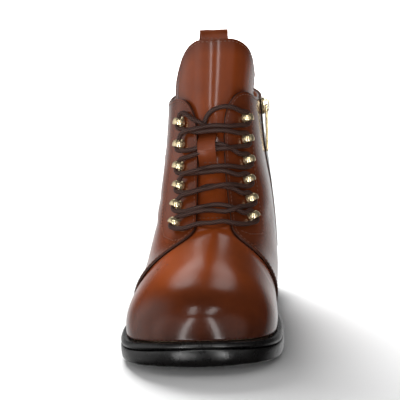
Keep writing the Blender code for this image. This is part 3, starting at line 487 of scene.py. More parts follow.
def rim_lines(piece):
    """Outer rims of a panel as ordered lines of places."""
    bm = bmesh.new()
    bm.from_mesh(piece.data)
    links = {}
    for edge in bm.edges:
        kinds = {face.material_index for face in edge.link_faces}
        if kinds == {OUTSIDE, RIM}:
            for one, other in (edge.verts, reversed(edge.verts)):
                links.setdefault(one.index, []).append(other.index)
    bm.verts.ensure_lookup_table()
    places = {index: np.array(bm.verts[index].co) for index in links}
    bm.free()
    lines = []
    left = set(links)
    while left:
        ends = [index for index in left if len(links[index]) == 1]
        current = min(ends) if ends else min(left)
        line = [current]
        left.discard(current)
        while True:
            onward = [index for index in links[current] if index in left]
            if not onward:
                break
            current = onward[0]
            left.discard(current)
            line.append(current)
        if len(line) >= SHORTEST_RIM:
            if line[0] in links[line[-1]]:
                line.append(line[0])
            lines.append(np.array([places[index] for index in line]))
    return lines


def outside_tree(piece, sides=(OUTSIDE,)):
    """Search tree over the outside faces alone, or over the sides that are named."""
    mesh = piece.data
    faces = [tuple(face.vertices) for face in mesh.polygons if face.material_index in sides]
    return BVHTree.FromPolygons([vertex.co for vertex in mesh.vertices], faces)


def rim_distance(piece, lines):
    """Distance of each point of a piece from the nearest line, in millimetres."""
    tree = KDTree(sum(len(line) for line in lines))
    count = 0
    for line in lines:
        for place in line:
            tree.insert(place, count)
            count += 1
    tree.balance()
    return np.array([tree.find(vertex.co)[2] for vertex in piece.data.vertices]) / MM


# Height of the sole's top edge along the boot, in millimetres
SOLE_TOP = np.array([
    (-137.5, 21.5), (-110, 17.5), (-78, 15), (-35, 15), (30, 27), (92, 36), (137.5, 36),
], float)


def sole_top(y):
    return np.interp(y, SOLE_TOP[:, 0], SOLE_TOP[:, 1])


# Rubbed darkness: the stretch over which it grows, in millimetres, and how dark it gets
TOE_STRETCH, TOE_SHARE = (-86.0, -128.0), 0.75
LOW_STRETCH, LOW_SHARE = (26.0, 0.0), 0.6
BACK_STRETCH, BACK_SHARE = (-25.0, 70.0), 0.55
FLANK_STRETCH, FLANK_SHARE = (14.0, 44.0), 0.45
FLANK_MIDDLE = 2.0
FLANK_FORWARD = (-20.0, -90.0)
EDGE_STRETCH = (11.0, 0.0)
# Darkness along the rims
QUARTER_EDGE, TONGUE_EDGE, STRAP_EDGE = 0.25, 0.45, 0.3
# Darkness all over, from 0, tan, to 1, dark brown: partly the panel's own tone and partly painted shade that
# evens out how brightly each panel is lit
QUARTER_TONE_AND_SHADE = {"lateral": 0.46, "medial": 0.52}
TONGUE_TONE_AND_SHADE = 0.12
# Shadow beside a quarter's rim: its darkness, the darkest share of its reach, and its reach
SHADOW_SHARE = 1.3
SHADOW_CORE = 0.35
VAMP_SHADOW = 3.0
TONGUE_SHADOW = 4.2


def burnish_and_shade_leather(piece, edge_share, panel_tone_and_shade=0.0, back_share=BACK_SHARE):
    """Polished darkness of each point: at the toe, above the sole, towards the back and along the rims, over
    a panel's darkness all over that is partly painted shade.
    """
    places = vertex_places(piece.data) / MM
    x, y, z = places.T
    toe = TOE_SHARE * smooth_step(*TOE_STRETCH, y)
    low = LOW_SHARE * smooth_step(*LOW_STRETCH, z - sole_top(y))
    back = back_share * smooth_step(*BACK_STRETCH, y)
    flank = FLANK_SHARE * smooth_step(*FLANK_STRETCH, np.abs(x - FLANK_MIDDLE))
    flank *= smooth_step(*FLANK_FORWARD, y)
    edge = edge_share * smooth_step(*EDGE_STRETCH, rim_distance(piece, rim_lines(piece)))
    dark = 1 - (1 - toe) * (1 - low) * (1 - back) * (1 - flank) * (1 - edge)
    # The panel's darkness all over, partly painted shade, lies under the polish
    set_attribute(piece.data, "burnish_and_shade", panel_tone_and_shade + (1 - panel_tone_and_shade) * dark)


def darken_beside(piece, lines, reach):
    """Shadow on a panel along the rims of the panels that lie over it."""
    distance = rim_distance(piece, lines)
    set_attribute(piece.data, "painted_shadow", SHADOW_SHARE * smooth_step(reach, SHADOW_CORE * reach, distance))


# Soft hollows: place, radii along the three axes and depth, in millimetres
VAMP_TROUGHS = (
    ((8.0, -106.0, 52.0), (26.0, 13.0, 13.0), 1.1),
    ((-34.0, -58.0, 38.0), (9.0, 5.0, 16.0), 0.5),
    ((36.0, -52.0, 38.0), (9.0, 5.0, 16.0), 0.45),
)
ANKLE_TROUGHS = (
    ((-34.0, 8.0, 66.0), (10.0, 14.0, 4.0), 0.5),
    ((-36.0, 14.0, 80.0), (10.0, 16.0, 4.5), 0.6),
    ((38.0, 6.0, 70.0), (10.0, 12.0, 4.5), 0.45),
    ((-30.0, 70.0, 84.0), (14.0, 22.0, 5.0), 0.55),
    ((30.0, 90.0, 86.0), (14.0, 20.0, 5.0), 0.5),
)


def press(piece, troughs):
    """Presses soft hollows into a wall from its outside, both its faces alike."""
    mesh = piece.data
    places = vertex_places(mesh) / MM
    normals = np.empty(len(mesh.vertices) * 3)
    mesh.vertices.foreach_get("normal", normals)
    normals = normals.reshape(-1, 3)
    away = np.array([room_direction(vertex.co) for vertex in mesh.vertices])
    outward = normals * np.sign((normals * away).sum(axis=1))[:, None]
    for place, radii, depth in troughs:
        apart = np.linalg.norm((places - np.array(place)) / np.array(radii), axis=1)
        places -= outward * (depth * np.exp(-apart**2))[:, None]
    mesh.vertices.foreach_set("co", (places * MM).ravel())
    mesh.update()


# Lace keeper: its two edges in the photograph, and its rise over the tongue by row of the photograph
KEEPER_EDGES = (117.8, 132.6)
KEEPER_RISE = np.array([
    (130.5, 0.3), (133.0, 2.2), (136.0, 4.8), (139.0, 6.3), (143.0, 6.6), (147.0, 6.3), (150.0, 4.5),
    (153.0, 1.9), (155.5, 0.3),
])
KEEPER_WALL = 1.2
KEEPER_ROUNDING = 0.3
KEEPER_COLUMNS, KEEPER_ROWS = 6, 18
# Rows by which the lace below lies lower at the first edge than at the second
KEEPER_SKEW = 2.4


def keeper_mesh(tongue):
    """Strap sewn to the tongue at both ends and drawn over the two runs of lace below it."""
    tree = outside_tree(tongue)
    first, last = KEEPER_RISE[0, 0], KEEPER_RISE[-1, 0]
    bm = bmesh.new()
    bmesh.ops.create_grid(bm, x_segments=KEEPER_COLUMNS, y_segments=KEEPER_ROWS, size=0.5)
    for vert in bm.verts:
        x = KEEPER_EDGES[0] + (vert.co.x + 0.5) * (KEEPER_EDGES[1] - KEEPER_EDGES[0])
        y = last - KEEPER_SKEW / 2 * vert.co.x + (vert.co.y + 0.5) * (first - last)
        foot = tree.ray_cast(*sight(x, y))[0]
        middle, out, _, _ = tree.ray_cast(*sight(sum(KEEPER_EDGES) / 2, y))
        rise = float(np.interp(y + KEEPER_SKEW * vert.co.x, KEEPER_RISE[:, 0], KEEPER_RISE[:, 1]))
        flattened = (middle - foot).dot(out) * rise / KEEPER_RISE[:, 1].max()
        vert.co = foot + out * (rise * MM + flattened)
    bmesh.ops.solidify(bm, geom=bm.faces, thickness=-KEEPER_WALL * MM)
    bmesh.ops.recalc_face_normals(bm, faces=bm.faces)
    return bm


def make_upper():
    """Vamp and shaft, with creases on the vamp."""
    upper = leather_piece("upper", copy_of("upper"), (LEATHER, LINING, LEATHER))
    press(upper, VAMP_TROUGHS)
    burnish_and_shade_leather(upper, 0.0)
    return upper


def make_quarter(side):
    """Outer panel of one side, with creases at the ankle."""
    node = f"quarter_{side}"
    quarter = leather_piece(node, copy_of(node), (LEATHER, LEATHER, CUT_EDGE), levels=3)
    press(quarter, ANKLE_TROUGHS)
    burnish_and_shade_leather(quarter, QUARTER_EDGE, QUARTER_TONE_AND_SHADE[side])
    return quarter


def make_tongue():
    """Tall tongue with a cut edge."""
    tongue = leather_piece(
        "tongue", copy_of("tongue"), (LEATHER, LINING, CUT_EDGE), levels=3, rim_width=TONGUE_RIM_WIDTH)
    burnish_and_shade_leather(tongue, TONGUE_EDGE, TONGUE_TONE_AND_SHADE)
    return tongue


def make_strap(node, bm, levels, rounding):
    """Loop of strap leather, the same on all its faces."""
    strap = leather_piece(node, bm, (STRAP_LEATHER,) * 3, levels=levels, rounding=rounding)
    burnish_and_shade_leather(strap, STRAP_EDGE, back_share=0.0)
    return strap


def make_leather():
    """Upper, quarters, tongue and straps, with the shadows that the quarters cast on what lies below them."""
    pieces = {"upper": make_upper()}
    facing_rims = []
    for side in SIDES:
        quarter = make_quarter(side)
        facing_rims.extend(rim_lines(quarter))
        pieces[f"quarter_{side}"] = quarter
    darken_beside(pieces["upper"], facing_rims, VAMP_SHADOW)
    tongue = make_tongue()
    darken_beside(tongue, facing_rims, TONGUE_SHADOW)
    pieces["tongue"] = tongue
    pieces["tongue_loop"] = make_strap("tongue_loop", keeper_mesh(tongue), 2, KEEPER_ROUNDING)
    pieces["pull_loop"] = make_strap("pull_loop", copy_of("pull_loop"), 3, LEATHER_ROUNDING)
    return pieces


# Stitches

STITCH_PITCH = 2.9
STITCH_SIZE = (0.36, 1.1, 0.3)
STITCH_SUNK = 0.05
STITCH_SIDES, STITCH_RINGS = 6, 4
# Step along a rim on its way into the panel, and steps between two points of a line in the photograph
RIM_STEP = 1.5
PHOTO_STEPS = 12


def add_stitch(bm, place, along, out):
    """One stitch: a small long bead that lies along a seam."""
    along = (along - out * along.dot(out)).normalized()
    matrix = laid(place - out * STITCH_SUNK * MM, along.cross(out), along, out, STITCH_SIZE)
    bmesh.ops.create_uvsphere(
        bm, u_segments=STITCH_SIDES, v_segments=STITCH_RINGS, radius=1.0, matrix=matrix)


def stitch_line(bm, tree, line, keep=lambda place: True):
    """Stitches along a line of places, each laid on the leather below it."""
    line = even_points(np.array(line), STITCH_PITCH * MM)
    for before, here, after in zip(line[:-2], line[1:-1], line[2:]):
        place, normal, _, _ = tree.find_nearest(Vector(here))
        if place is not None and keep(place / MM):
            add_stitch(bm, place, Vector(after - before), normal)


def inset_line(tree, line, inset):
    """A rim's line moved into its panel, along the leather."""
    moved = []
    smooth = even_points(line, RIM_STEP * MM)
    for before, here, after in zip(smooth[:-2], smooth[1:-1], smooth[2:]):
        along = Vector(after - before).normalized()
        _, normal, _, _ = tree.find_nearest(Vector(here))
        inward = normal.cross(along)
        options = []
        for way in (1, -1):
            target = Vector(here) + way * inward * inset * MM
            place, _, _, distance = tree.find_nearest(target)
            options.append((distance, place))
        moved.append(min(options, key=lambda option: option[0])[1])
    return np.array(moved)


def photo_line(tree, points):
    """Places on the leather that lie behind a line in the photograph."""
    found = []
    for first, second in zip(points[:-1], points[1:]):
        for share in np.linspace(0.0, 1.0, PHOTO_STEPS, endpoint=False):
            at = [a + (b - a) * share for a, b in zip(first, second)]
            place = tree.ray_cast(*sight(*at))[0]
            if place is not None:
                found.append(place)
    return np.array(found)


EDGE_INSET = 1.7
# Rows of stitches in the photograph
PANEL_ROWS = {
    "lateral": (
        ((91.0, 104.5), (89.6, 130.0), (88.6, 157.0), (87.2, 185.0), (86.0, 207.0), (87.5, 215.0),
         (95.0, 218.5), (104.5, 217.0)),
    ),
    "medial": (
        ((161.5, 100.0), (162.0, 130.0), (164.0, 158.0), (167.5, 185.0), (171.5, 207.0), (170.5, 213.0),
         (160.0, 213.0), (149.5, 209.0)),
    ),
    "tongue": (
        ((123.5, 188.5), (140.0, 188.5)),
        ((114.5, 199.8), (142.0, 199.3)),
    ),
}
STRAP_ROWS = {
    "tongue_loop": ((118.8, 153.2), (131.6, 153.2)),
    "pull_loop": ((118.5, 48.5), (140.0, 48.5)),
}
# Heights in millimetres above which rims are sewn: on the quarters over the sole's edge, on the tongue
QUARTER_ROWS_START = 4.0
TONGUE_ROWS_START = 140.0
# Seam where the upper meets the sole: centres of its turns at toe and heel, and its height over the sole
WELT_TOE = (4.0, -92.0)
WELT_HEEL = (0.0, 96.0)
WELT_RISE = 0.7
# Steps of the seam in degrees and in millimetres, and its greatest and its likely reach from the middle
WELT_TURN_STEP = 4.0
WELT_STEP = 4.0
WELT_FAR = 90.0
WELT_FIRST_REACH = 30.0
WELT_ROUNDS = 3


def welt_point(tree, start, way):
    """Point of the upper just above the sole, in a level direction from the middle of the boot."""
    reach = WELT_FIRST_REACH
    place = None
    for _ in range(WELT_ROUNDS):
        height = sole_top(start[1] + way[1] * reach) + WELT_RISE
        middle = Vector((*start, height))
        outward = Vector((*way, 0.0))
        place = tree.ray_cast((middle + WELT_FAR * outward) * MM, -outward)[0]
        if place is None:
            break
        reach = (place / MM - middle).length
    return place


def welt_line(tree):
    """Closed line round the upper just above the sole."""
    turns = np.radians(np.arange(-90.0, 91.0, WELT_TURN_STEP))
    starts = [(WELT_TOE, (sin(turn), -cos(turn))) for turn in turns]
    starts += [((0.0, y), (1.0, 0.0)) for y in np.arange(WELT_TOE[1], WELT_HEEL[1], WELT_STEP)]
    starts += [(WELT_HEEL, (sin(turn), cos(turn))) for turn in -turns]
    starts += [((0.0, y), (-1.0, 0.0)) for y in np.arange(WELT_HEEL[1], WELT_TOE[1], -WELT_STEP)]
    found = [welt_point(tree, start, way) for start, way in starts]
    return np.array([place for place in found if place is not None])


def above_sole(place):
    return place.z > sole_top(place.y) + QUARTER_ROWS_START


def above_lacing(place):
    return place.z > TONGUE_ROWS_START


def sew_panel(name, panel, keep):
    """Stitches along a panel's rims, where they are kept, and along its rows in the photograph."""
    tree = outside_tree(panel)
    bm = bmesh.new()
    for line in rim_lines(panel):
        stitch_line(bm, tree, inset_line(tree, line, EDGE_INSET), keep)
    for row in PANEL_ROWS[name]:
        stitch_line(bm, tree, photo_line(tree, row))
    new_piece(f"stitches_{name}", bm, (EDGE_THREAD,))


def make_stitches(pieces):
    """Stitches on the quarters, the tongue, the straps and round the sole's edge."""
    for side in SIDES:
        sew_panel(side, pieces[f"quarter_{side}"], above_sole)
    sew_panel("tongue", pieces["tongue"], above_lacing)
    bm = bmesh.new()
    for node, row in STRAP_ROWS.items():
        tree = outside_tree(pieces[node], (OUTSIDE, INSIDE, RIM))
        stitch_line(bm, tree, photo_line(tree, row))
    new_piece("stitches_straps", bm, (EDGE_THREAD,))
    tree = outside_tree(pieces["upper"])
    bm = bmesh.new()
    stitch_line(bm, tree, welt_line(tree))
    new_piece("stitches_welt", bm, (WELT_THREAD,))


# Hooks

HOOK_ROWS = 6
HOOK_RADIUS = 4.3
HOOK_RISE = 5.9
HOOK_HALF_DEPTH = 2.3
HOOK_WALL = 0.8
HOOK_BULGE = 4.2
HOOK_BULGE_MIDDLE = -0.5
HOOK_ROUNDING = 0.28
HOOK_PROFILE_POINTS = 7
HOOK_ARCH_STEPS = 14
# Height of the opening's middle over the foot
HOOK_OPENING = 2.7
# Decimals of a hook's place and directions: hooks and lace stay the same if the solids are meshed anew
PLACE_DECIMALS = 1
DIRECTION_DECIMALS = 3
PLATE_RADIUS = 3.6
PLATE_THICKNESS = 0.55
PLATE_ROUNDING = 0.2
PLATE_SIDES = 24
PLATE_FOLD = 60.0


def hook_place(node):
    """Foot of a hook in millimetres, its direction up the facing and its direction out, from its CAD node."""
    bm = copy_of(node)
    points = np.array([vert.co for vert in bm.verts]) / MM
    bm.free()
    centre = points.mean(axis=0)
    # A hook's points spread least in its height, more up the facing and most across it
    axes = np.linalg.eigh(np.cov((points - centre).T))[1]
    out = axes[:, 0] * np.sign(axes[:, 0] @ np.array(room_direction(centre * MM)))
    up = axes[:, 1] * np.sign(axes[2, 1])
    foot = centre + out * ((points - centre) @ out).min()
    directions = [Vector(np.round(way, DIRECTION_DECIMALS)).normalized() for way in (up, out)]
    return Vector(np.round(foot, PLACE_DECIMALS)), *directions


HOOK_PLACES = {
    side: [hook_place(f"hook_{side}_{row}") for row in range(1, HOOK_ROWS + 1)] for side in SIDES
}


def add_leg(bm, edges, length):
    """Straight leg of the band, from one end of its arch down to the leather."""
    made = bmesh.ops.extrude_edge_only(bm, edges=edges)["geom"]
    foot = [item for item in made if isinstance(item, bmesh.types.BMVert)]
    bmesh.ops.translate(bm, verts=foot, vec=(0.0, 0.0, -length))


def hook_band(bm):
    """Arched band, fullest near its lower end, in its own directions: across, up the facing, out."""
    middle = HOOK_RISE - HOOK_RADIUS
    profile = []
    for up in np.linspace(-HOOK_HALF_DEPTH, HOOK_HALF_DEPTH, HOOK_PROFILE_POINTS):
        full = np.sqrt(1 - ((up - HOOK_BULGE_MIDDLE) / HOOK_BULGE) ** 2)
        profile.append(bm.verts.new((HOOK_RADIUS * full, up, middle)))
    edges = [bm.edges.new(pair) for pair in zip(profile[:-1], profile[1:])]
    add_leg(bm, edges, middle)
    arch = bmesh.ops.spin(
        bm, geom=profile + edges, cent=(0.0, 0.0, middle), axis=(0.0, -1.0, 0.0), angle=pi,
        steps=HOOK_ARCH_STEPS)["geom_last"]
    add_leg(bm, [item for item in arch if isinstance(item, bmesh.types.BMEdge)], middle)
    bmesh.ops.remove_doubles(bm, verts=bm.verts, dist=MERGE_DISTANCE)
    bmesh.ops.recalc_face_normals(bm, faces=bm.faces)
    top = max(bm.faces, key=lambda face: face.calc_center_median().z)
    if top.normal.z < 0:
        bmesh.ops.reverse_faces(bm, faces=bm.faces)


def add_plate(bm):
    """Round foot plate with a soft rim."""
    plate = bmesh.ops.create_cone(
        bm, cap_ends=True, segments=PLATE_SIDES, radius1=PLATE_RADIUS * MM, radius2=PLATE_RADIUS * MM,
        depth=PLATE_THICKNESS * MM)["verts"]
    rim = {edge for vert in plate for edge in vert.link_edges if edge.calc_face_angle() > radians(PLATE_FOLD)}
    bmesh.ops.bevel(
        bm, geom=list(rim), offset=PLATE_ROUNDING * MM, segments=2, affect="EDGES", profile=0.5, material=-1)


def hook_mesh():
    """Band with a rounded wall on its foot plate."""
    bm = bmesh.new()
    hook_band(bm)
    bmesh.ops.scale(bm, vec=(MM, MM, MM), verts=bm.verts)
    mesh = bpy.data.meshes.new("hook")
    bm.to_mesh(mesh)
    bm.free()
    band = bpy.data.objects.new("hook", mesh)
    bpy.context.scene.collection.objects.link(band)
    wall = band.modifiers.new("wall", "SOLIDIFY")
    wall.thickness = HOOK_WALL * MM
    wall.offset = -1.0
    round_edges(band, HOOK_ROUNDING, 2, FOLD_ANGLE)
    subdivide(band, 1)
    settle(band)
    bm = bmesh.new()
    bm.from_mesh(band.data)
    bpy.data.objects.remove(band)
    add_plate(bm)
    mesh = bpy.data.meshes.new("hook_template")
    bm.to_mesh(mesh)
    bm.free()
    return mesh


def make_hooks():
    """Twelve hooks, each where its CAD node is."""
    template = hook_mesh()
    for side, places in HOOK_PLACES.items():
        for row, (foot, up, out) in enumerate(places, 1):
            turn = Matrix((up.cross(out), up, out)).transposed().to_4x4()
            bm = bmesh.new()
            bm.from_mesh(template)
            bm.transform(Matrix.Translation(foot * MM) @ turn)
            new_piece(f"gilt_hook_{side}_{row}", bm, (GILT,), nodes=(f"hook_{side}_{row}",))
    bpy.data.meshes.remove(template)


# Lace: the runs from hook to hook, each from its lateral end to its medial end, in millimetres

LACE_BAR = (
    (-21.3, -34.7, 71.0), (-14.6, -41.6, 70.8), (-10.5, -43.9, 71.5), (-5.6, -44.1, 73.4),
    (-0.1, -44.8, 74.7), (6.5, -44.7, 74.5), (13.0, -43.7, 75.5), (18.9, -42.6, 73.8), (23.2, -40.1, 72.6),
    (25.9, -38.1, 72.0), (33.8, -26.0, 71.7),
)
# Runs that pass over, from the lateral hook of a row to the medial hook above: rows 2 to 6
LACE_OVER = (
    ((-16.1, 3.2, 121.3), (-15.2, 4.8, 123.3), (-10.2, -1.6, 126.2), (-3.6, -2.4, 127.7), (2.0, -0.3, 128.5),
     (9.9, -0.8, 128.8), (16.1, 0.6, 127.8), (21.2, 4.4, 127.9), (25.2, 8.1, 127.1), (28.5, 11.5, 127.5)),
    ((-15.8, -4.4, 108.6), (-11.0, -6.6, 109.8), (-4.3, -8.9, 112.4), (2.4, -7.7, 113.8), (9.3, -7.8, 115.1),
     (15.0, -8.6, 115.3), (20.1, -2.7, 115.2), (24.6, 1.7, 114.7), (28.8, 6.0, 114.8)),
    ((-15.2, -13.0, 97.6), (-13.9, -14.2, 100.6), (-8.0, -17.2, 102.1), (-3.4, -18.2, 103.6),
     (2.1, -14.1, 104.3), (10.0, -14.2, 105.1), (16.5, -12.1, 104.5), (20.1, -9.9, 103.6),
     (23.9, -7.1, 102.4), (29.8, 0.1, 102.5)),
    ((-16.0, -21.6, 86.8), (-12.4, -23.5, 88.9), (-6.2, -26.1, 90.8), (-0.7, -26.5, 92.7),
     (4.7, -24.0, 93.0), (11.3, -25.2, 94.8), (17.9, -23.1, 94.5), (21.2, -17.5, 93.2), (24.9, -15.2, 91.7),
     (30.6, -8.9, 91.8)),
    ((-16.1, -31.8, 77.2), (-12.7, -33.7, 77.1), (-8.4, -34.3, 79.0), (-2.9, -35.8, 80.3),
     (2.7, -35.9, 81.1), (9.3, -34.9, 80.2), (14.6, -36.7, 79.9), (18.6, -34.4, 80.6), (22.8, -32.3, 82.1),
     (25.6, -25.8, 81.0), (32.5, -17.0, 81.2)),
)
# Runs that pass under, from the lateral hook of a row to the medial hook below: rows 1 to 5
LACE_UNDER = (
    ((-18.2, 9.0, 126.3), (-14.1, 5.2, 126.3), (-10.0, 1.4, 125.7), (-3.8, -2.2, 125.0), (1.9, -1.7, 125.5),
     (9.8, -2.1, 126.0), (16.1, -0.7, 125.0), (20.6, 1.9, 123.3), (23.8, 4.4, 122.4), (26.9, 7.0, 123.1)),
    ((-18.6, 1.5, 113.3), (-14.0, -2.0, 113.6), (-9.4, -5.2, 114.0), (-4.3, -7.1, 115.6), (2.4, -5.9, 117.0),
     (9.3, -6.2, 118.0), (12.9, -6.5, 117.0), (17.0, -5.4, 114.7), (20.1, -4.3, 112.3), (23.4, -2.8, 109.8),
     (27.1, 1.1, 110.6)),
    ((-18.9, -6.5, 100.8), (-12.0, -12.4, 100.2), (-7.5, -14.7, 101.0), (-1.0, -17.1, 101.7),
     (4.3, -14.9, 101.6), (10.0, -16.0, 102.5), (15.0, -15.4, 101.5), (19.2, -13.9, 99.5),
     (22.4, -11.9, 98.4), (26.8, -7.3, 99.4)),
    ((-18.8, -15.6, 90.2), (-11.6, -21.3, 89.8), (-7.2, -23.2, 90.6), (-1.8, -24.1, 92.4),
     (2.3, -22.5, 93.9), (7.1, -21.0, 93.6), (13.2, -23.0, 93.4), (18.2, -21.3, 91.9), (21.3, -20.3, 90.1),
     (24.7, -19.6, 87.6), (28.4, -15.6, 88.6)),
    ((-20.2, -24.4, 79.9), (-12.2, -31.3, 79.4), (-7.4, -32.5, 81.1), (-1.9, -33.7, 82.5),
     (4.8, -31.3, 83.3), (10.3, -31.8, 83.7), (15.5, -32.7, 82.8), (19.6, -31.7, 81.1), (23.7, -30.7, 78.6),
     (26.2, -30.2, 76.8), (29.3, -24.8, 79.0)),
)
LATERAL_END = (
    (0.9, 1.0, 125.4), (0.5, 1.3, 127.4), (-1.1, 1.0, 130.4), (-3.7, 0.9, 131.2), (-6.3, 2.2, 132.2),
    (-8.8, 4.1, 133.7), (-11.9, 6.9, 135.9), (-14.9, 9.4, 136.6), (-16.3, 10.3, 134.6),
)
MEDIAL_END = (
    (27.1, 12.2, 136.0), (24.8, 9.0, 135.1), (20.2, 6.4, 138.3), (14.7, 4.4, 140.3), (9.8, 4.5, 139.5),
    (4.9, 4.6, 137.6), (1.7, 4.2, 134.2), (0.7, 3.6, 132.0), (0.1, 3.2, 130.1), (-0.1, 2.6, 127.9),
)
LACE_DIAMETER = 3.0
LACE_SIDES = 32
LACE_SPACING = 0.4
# Rounds in which the route is eased, and the share of each bend that a round takes out
LACE_EASING = 60
EASING_SHARE = 0.25
# Braid: strands each way, length of one strand's step, its relief, and the height at which the cord is full
STRANDS = 6
STRAND_LAY = 2.4
STRAND_RELIEF = 0.14
STRAND_FULL = 0.8
LACE_SHARP = 70.0
LACE_NODES = (
    "lace_bar", *(f"lace_crossing_{row}" for row in range(1, HOOK_ROWS)),
    *(f"lace_end_{side}" for side in SIDES),
)
OTHER_SIDE = {"lateral": "medial", "medial": "lateral"}


def through_hook(side, row):
    """Middle of a hook's opening."""
    foot, _, out = HOOK_PLACES[side][row]
    return tuple(foot + out * HOOK_OPENING)


def lace_route():
    """One lace from its lateral tucked end down to the bar and up again to its medial tucked end."""
    lowest = HOOK_ROWS - 1
    route = list(LATERAL_END)
    side = "lateral"
    for row in range(lowest):
        route.append(through_hook(side, row))
        route.extend(LACE_UNDER[row] if side == "lateral" else LACE_OVER[row][::-1])
        side = OTHER_SIDE[side]
    route.append(through_hook("medial", lowest))
    route.extend(LACE_BAR[::-1])
    route.append(through_hook("lateral", lowest))
    side = "lateral"
    for row in reversed(range(lowest)):
        route.extend(LACE_OVER[row] if side == "lateral" else LACE_UNDER[row][::-1])
        side = OTHER_SIDE[side]
        route.append(through_hook(side, row))
    route.extend(MEDIAL_END)
    line = curve_points(route, LACE_SPACING)
    for _ in range(LACE_EASING):
        line[1:-1] += EASING_SHARE * (line[:-2] - 2 * line[1:-1] + line[2:])
    return even_points(line, LACE_SPACING)


def make_lace():
    """Round braided cord: strands wind both ways and stand proud where they cross on top."""
    route = lace_route()
    along = np.gradient(route, axis=0)
    along /= np.linalg.norm(along, axis=1)[:, None]
    side = np.cross(along[0], (0.0, 0.0, 1.0))
    bm = bmesh.new()
    rings = []
    relief = []
    for count, (centre, forward) in enumerate(zip(route, along)):
        side = side - (side @ forward) * forward
        side /= np.linalg.norm(side)
        other = np.cross(forward, side)
        wind = 2 * pi * count * LACE_SPACING / (STRAND_LAY * STRANDS)
        ring = []
        for step in range(LACE_SIDES):
            turn = 2 * pi * step / LACE_SIDES
            height = max(cos(STRANDS * (turn + wind)), cos(STRANDS * (turn - wind)))
            radius = LACE_DIAMETER / 2 + STRAND_RELIEF * (height - STRAND_FULL)
            place = centre + radius * (cos(turn) * side + sin(turn) * other)
            ring.append(bm.verts.new(place * MM))
            relief.append(0.5 + 0.5 * height)
        rings.append(ring)
    for low, high in zip(rings[:-1], rings[1:]):
        for step in range(LACE_SIDES):
            onward = (step + 1) % LACE_SIDES
            bm.faces.new((low[step], low[onward], high[onward], high[step]))
    bm.faces.new(reversed(rings[0]))
    bm.faces.new(rings[-1])
    bmesh.ops.recalc_face_normals(bm, faces=bm.faces)
    lace = new_piece("lace", bm, (CORD,), nodes=LACE_NODES, sharp=LACE_SHARP)
    # The strands' height, which the cord's finish paints as shade in the hollows and lighter on the crowns
    set_attribute(lace.data, "strand", relief)


# Zip: middle of its chain, from the foot up, in millimetres

ZIP_LINE = np.array([
    (41.7, 36.6, 42.6), (41.2, 38.8, 56.3), (40.4, 42.1, 67.4), (39.4, 46.3, 77.2), (37.9, 49.9, 88.8),
    (36.6, 51.3, 95.9), (35.3, 52.8, 104.2), (34.6, 53.8, 113.2), (33.9, 54.0, 122.9), (33.6, 54.0, 140.6),
])
TOOTH_PITCH = 0.95
TOOTH_SIZE = (3.0, 0.75, 0.8)
TOOTH_OFFSET = 0.85
TOOTH_ROUNDING = 0.18
ZIP_FOLD = 30.0
SLIDER_ROUNDING = 0.4


def make_zip_tape():
    """Woven tape with its folds kept."""
    bm = copy_of("zip_tape")
    crease_edges(bm, ZIP_FOLD)
    tape = new_piece("zip_tape_woven", bm, (ZIP_TAPE,), nodes=("zip_tape",))
    subdivide(tape, 2)
    settle(tape)
    return tape


def make_zip_teeth(tape):
    """Two rows of teeth that stand between each other along the chain."""
    tree = outside_tree(tape)
    bm = bmesh.new()
    line = curve_points(ZIP_LINE * MM, TOOTH_PITCH * MM)
    for count in range(1, len(line) - 1):
        along = Vector(line[count + 1] - line[count - 1]).normalized()
        place, out, _, _ = tree.find_nearest(Vector(line[count]))
        out = (out - along * out.dot(along)).normalized()
        side = along.cross(out)
        offset = TOOTH_OFFSET if count % 2 else -TOOTH_OFFSET
        matrix = laid(place + side * offset * MM, side, along, out, TOOTH_SIZE)
        tooth = bmesh.ops.create_cube(bm, size=1.0, matrix=matrix)["verts"]
        edges = {edge for vert in tooth for edge in vert.link_edges}
        bmesh.ops.bevel(
            bm, geom=list(edges), offset=TOOTH_ROUNDING * MM, segments=1, affect="EDGES", profile=0.5,
            material=-1)
    new_piece("zip_teeth", bm, (ZIP_TEETH,))


def make_zip():
    """Tape, teeth, slider and the puller that swings on it."""
    make_zip_teeth(make_zip_tape())
    for node, body in (("zip_slider", BOOT), ("zip_puller", PULLER)):
        piece = new_piece(f"gilt_{node}", copy_of(node), (GILT,), body=body, nodes=(node,))
        round_edges(piece, SLIDER_ROUNDING, 3, ZIP_FOLD)
        settle(piece)


# Sole

# How far the midsole's underside comes down, to meet the outsole without a groove
SOLE_JOIN = 0.27
# Faces that look down by at least this slope are the underside
UNDERSIDE = -0.7
SOLE_SHARP = 35.0


def sole_piece(name, node, material, levels, fold, rounding, join=0.0):
    """Layer of the sole, smoothed but for its folds."""
    bm = copy_of(node)
    under = {vert for face in bm.faces if face.normal.z < UNDERSIDE for vert in face.verts}
    bmesh.ops.translate(bm, verts=list(under), vec=(0.0, 0.0, -join * MM))
    crease_edges(bm, fold)
    piece = new_piece(name, bm, (material,), nodes=(node,))
    subdivide(piece, levels)
    round_edges(piece, rounding, 2, SOLE_SHARP)
    settle(piece, SOLE_SHARP)


def make_sole():
    """Outsole, midsole, heel and insole."""
    sole_piece("rubber_outsole", "outsole", SOLE_RUBBER, 2, 60.0, 0.12)
    sole_piece("rubber_midsole", "midsole", SOLE_RUBBER, 2, 60.0, 0.12, SOLE_JOIN)
    sole_piece("rubber_heel", "heel", HEEL_RUBBER, 2, 60.0, 0.5)
    sole_piece("insole_cover", "insole", BOARD, 1, 50.0, 0.4)


# Floor and light

FLOOR_HALF = 6.0
FLOOR_WHITE = (0.93, 0.93, 0.93)


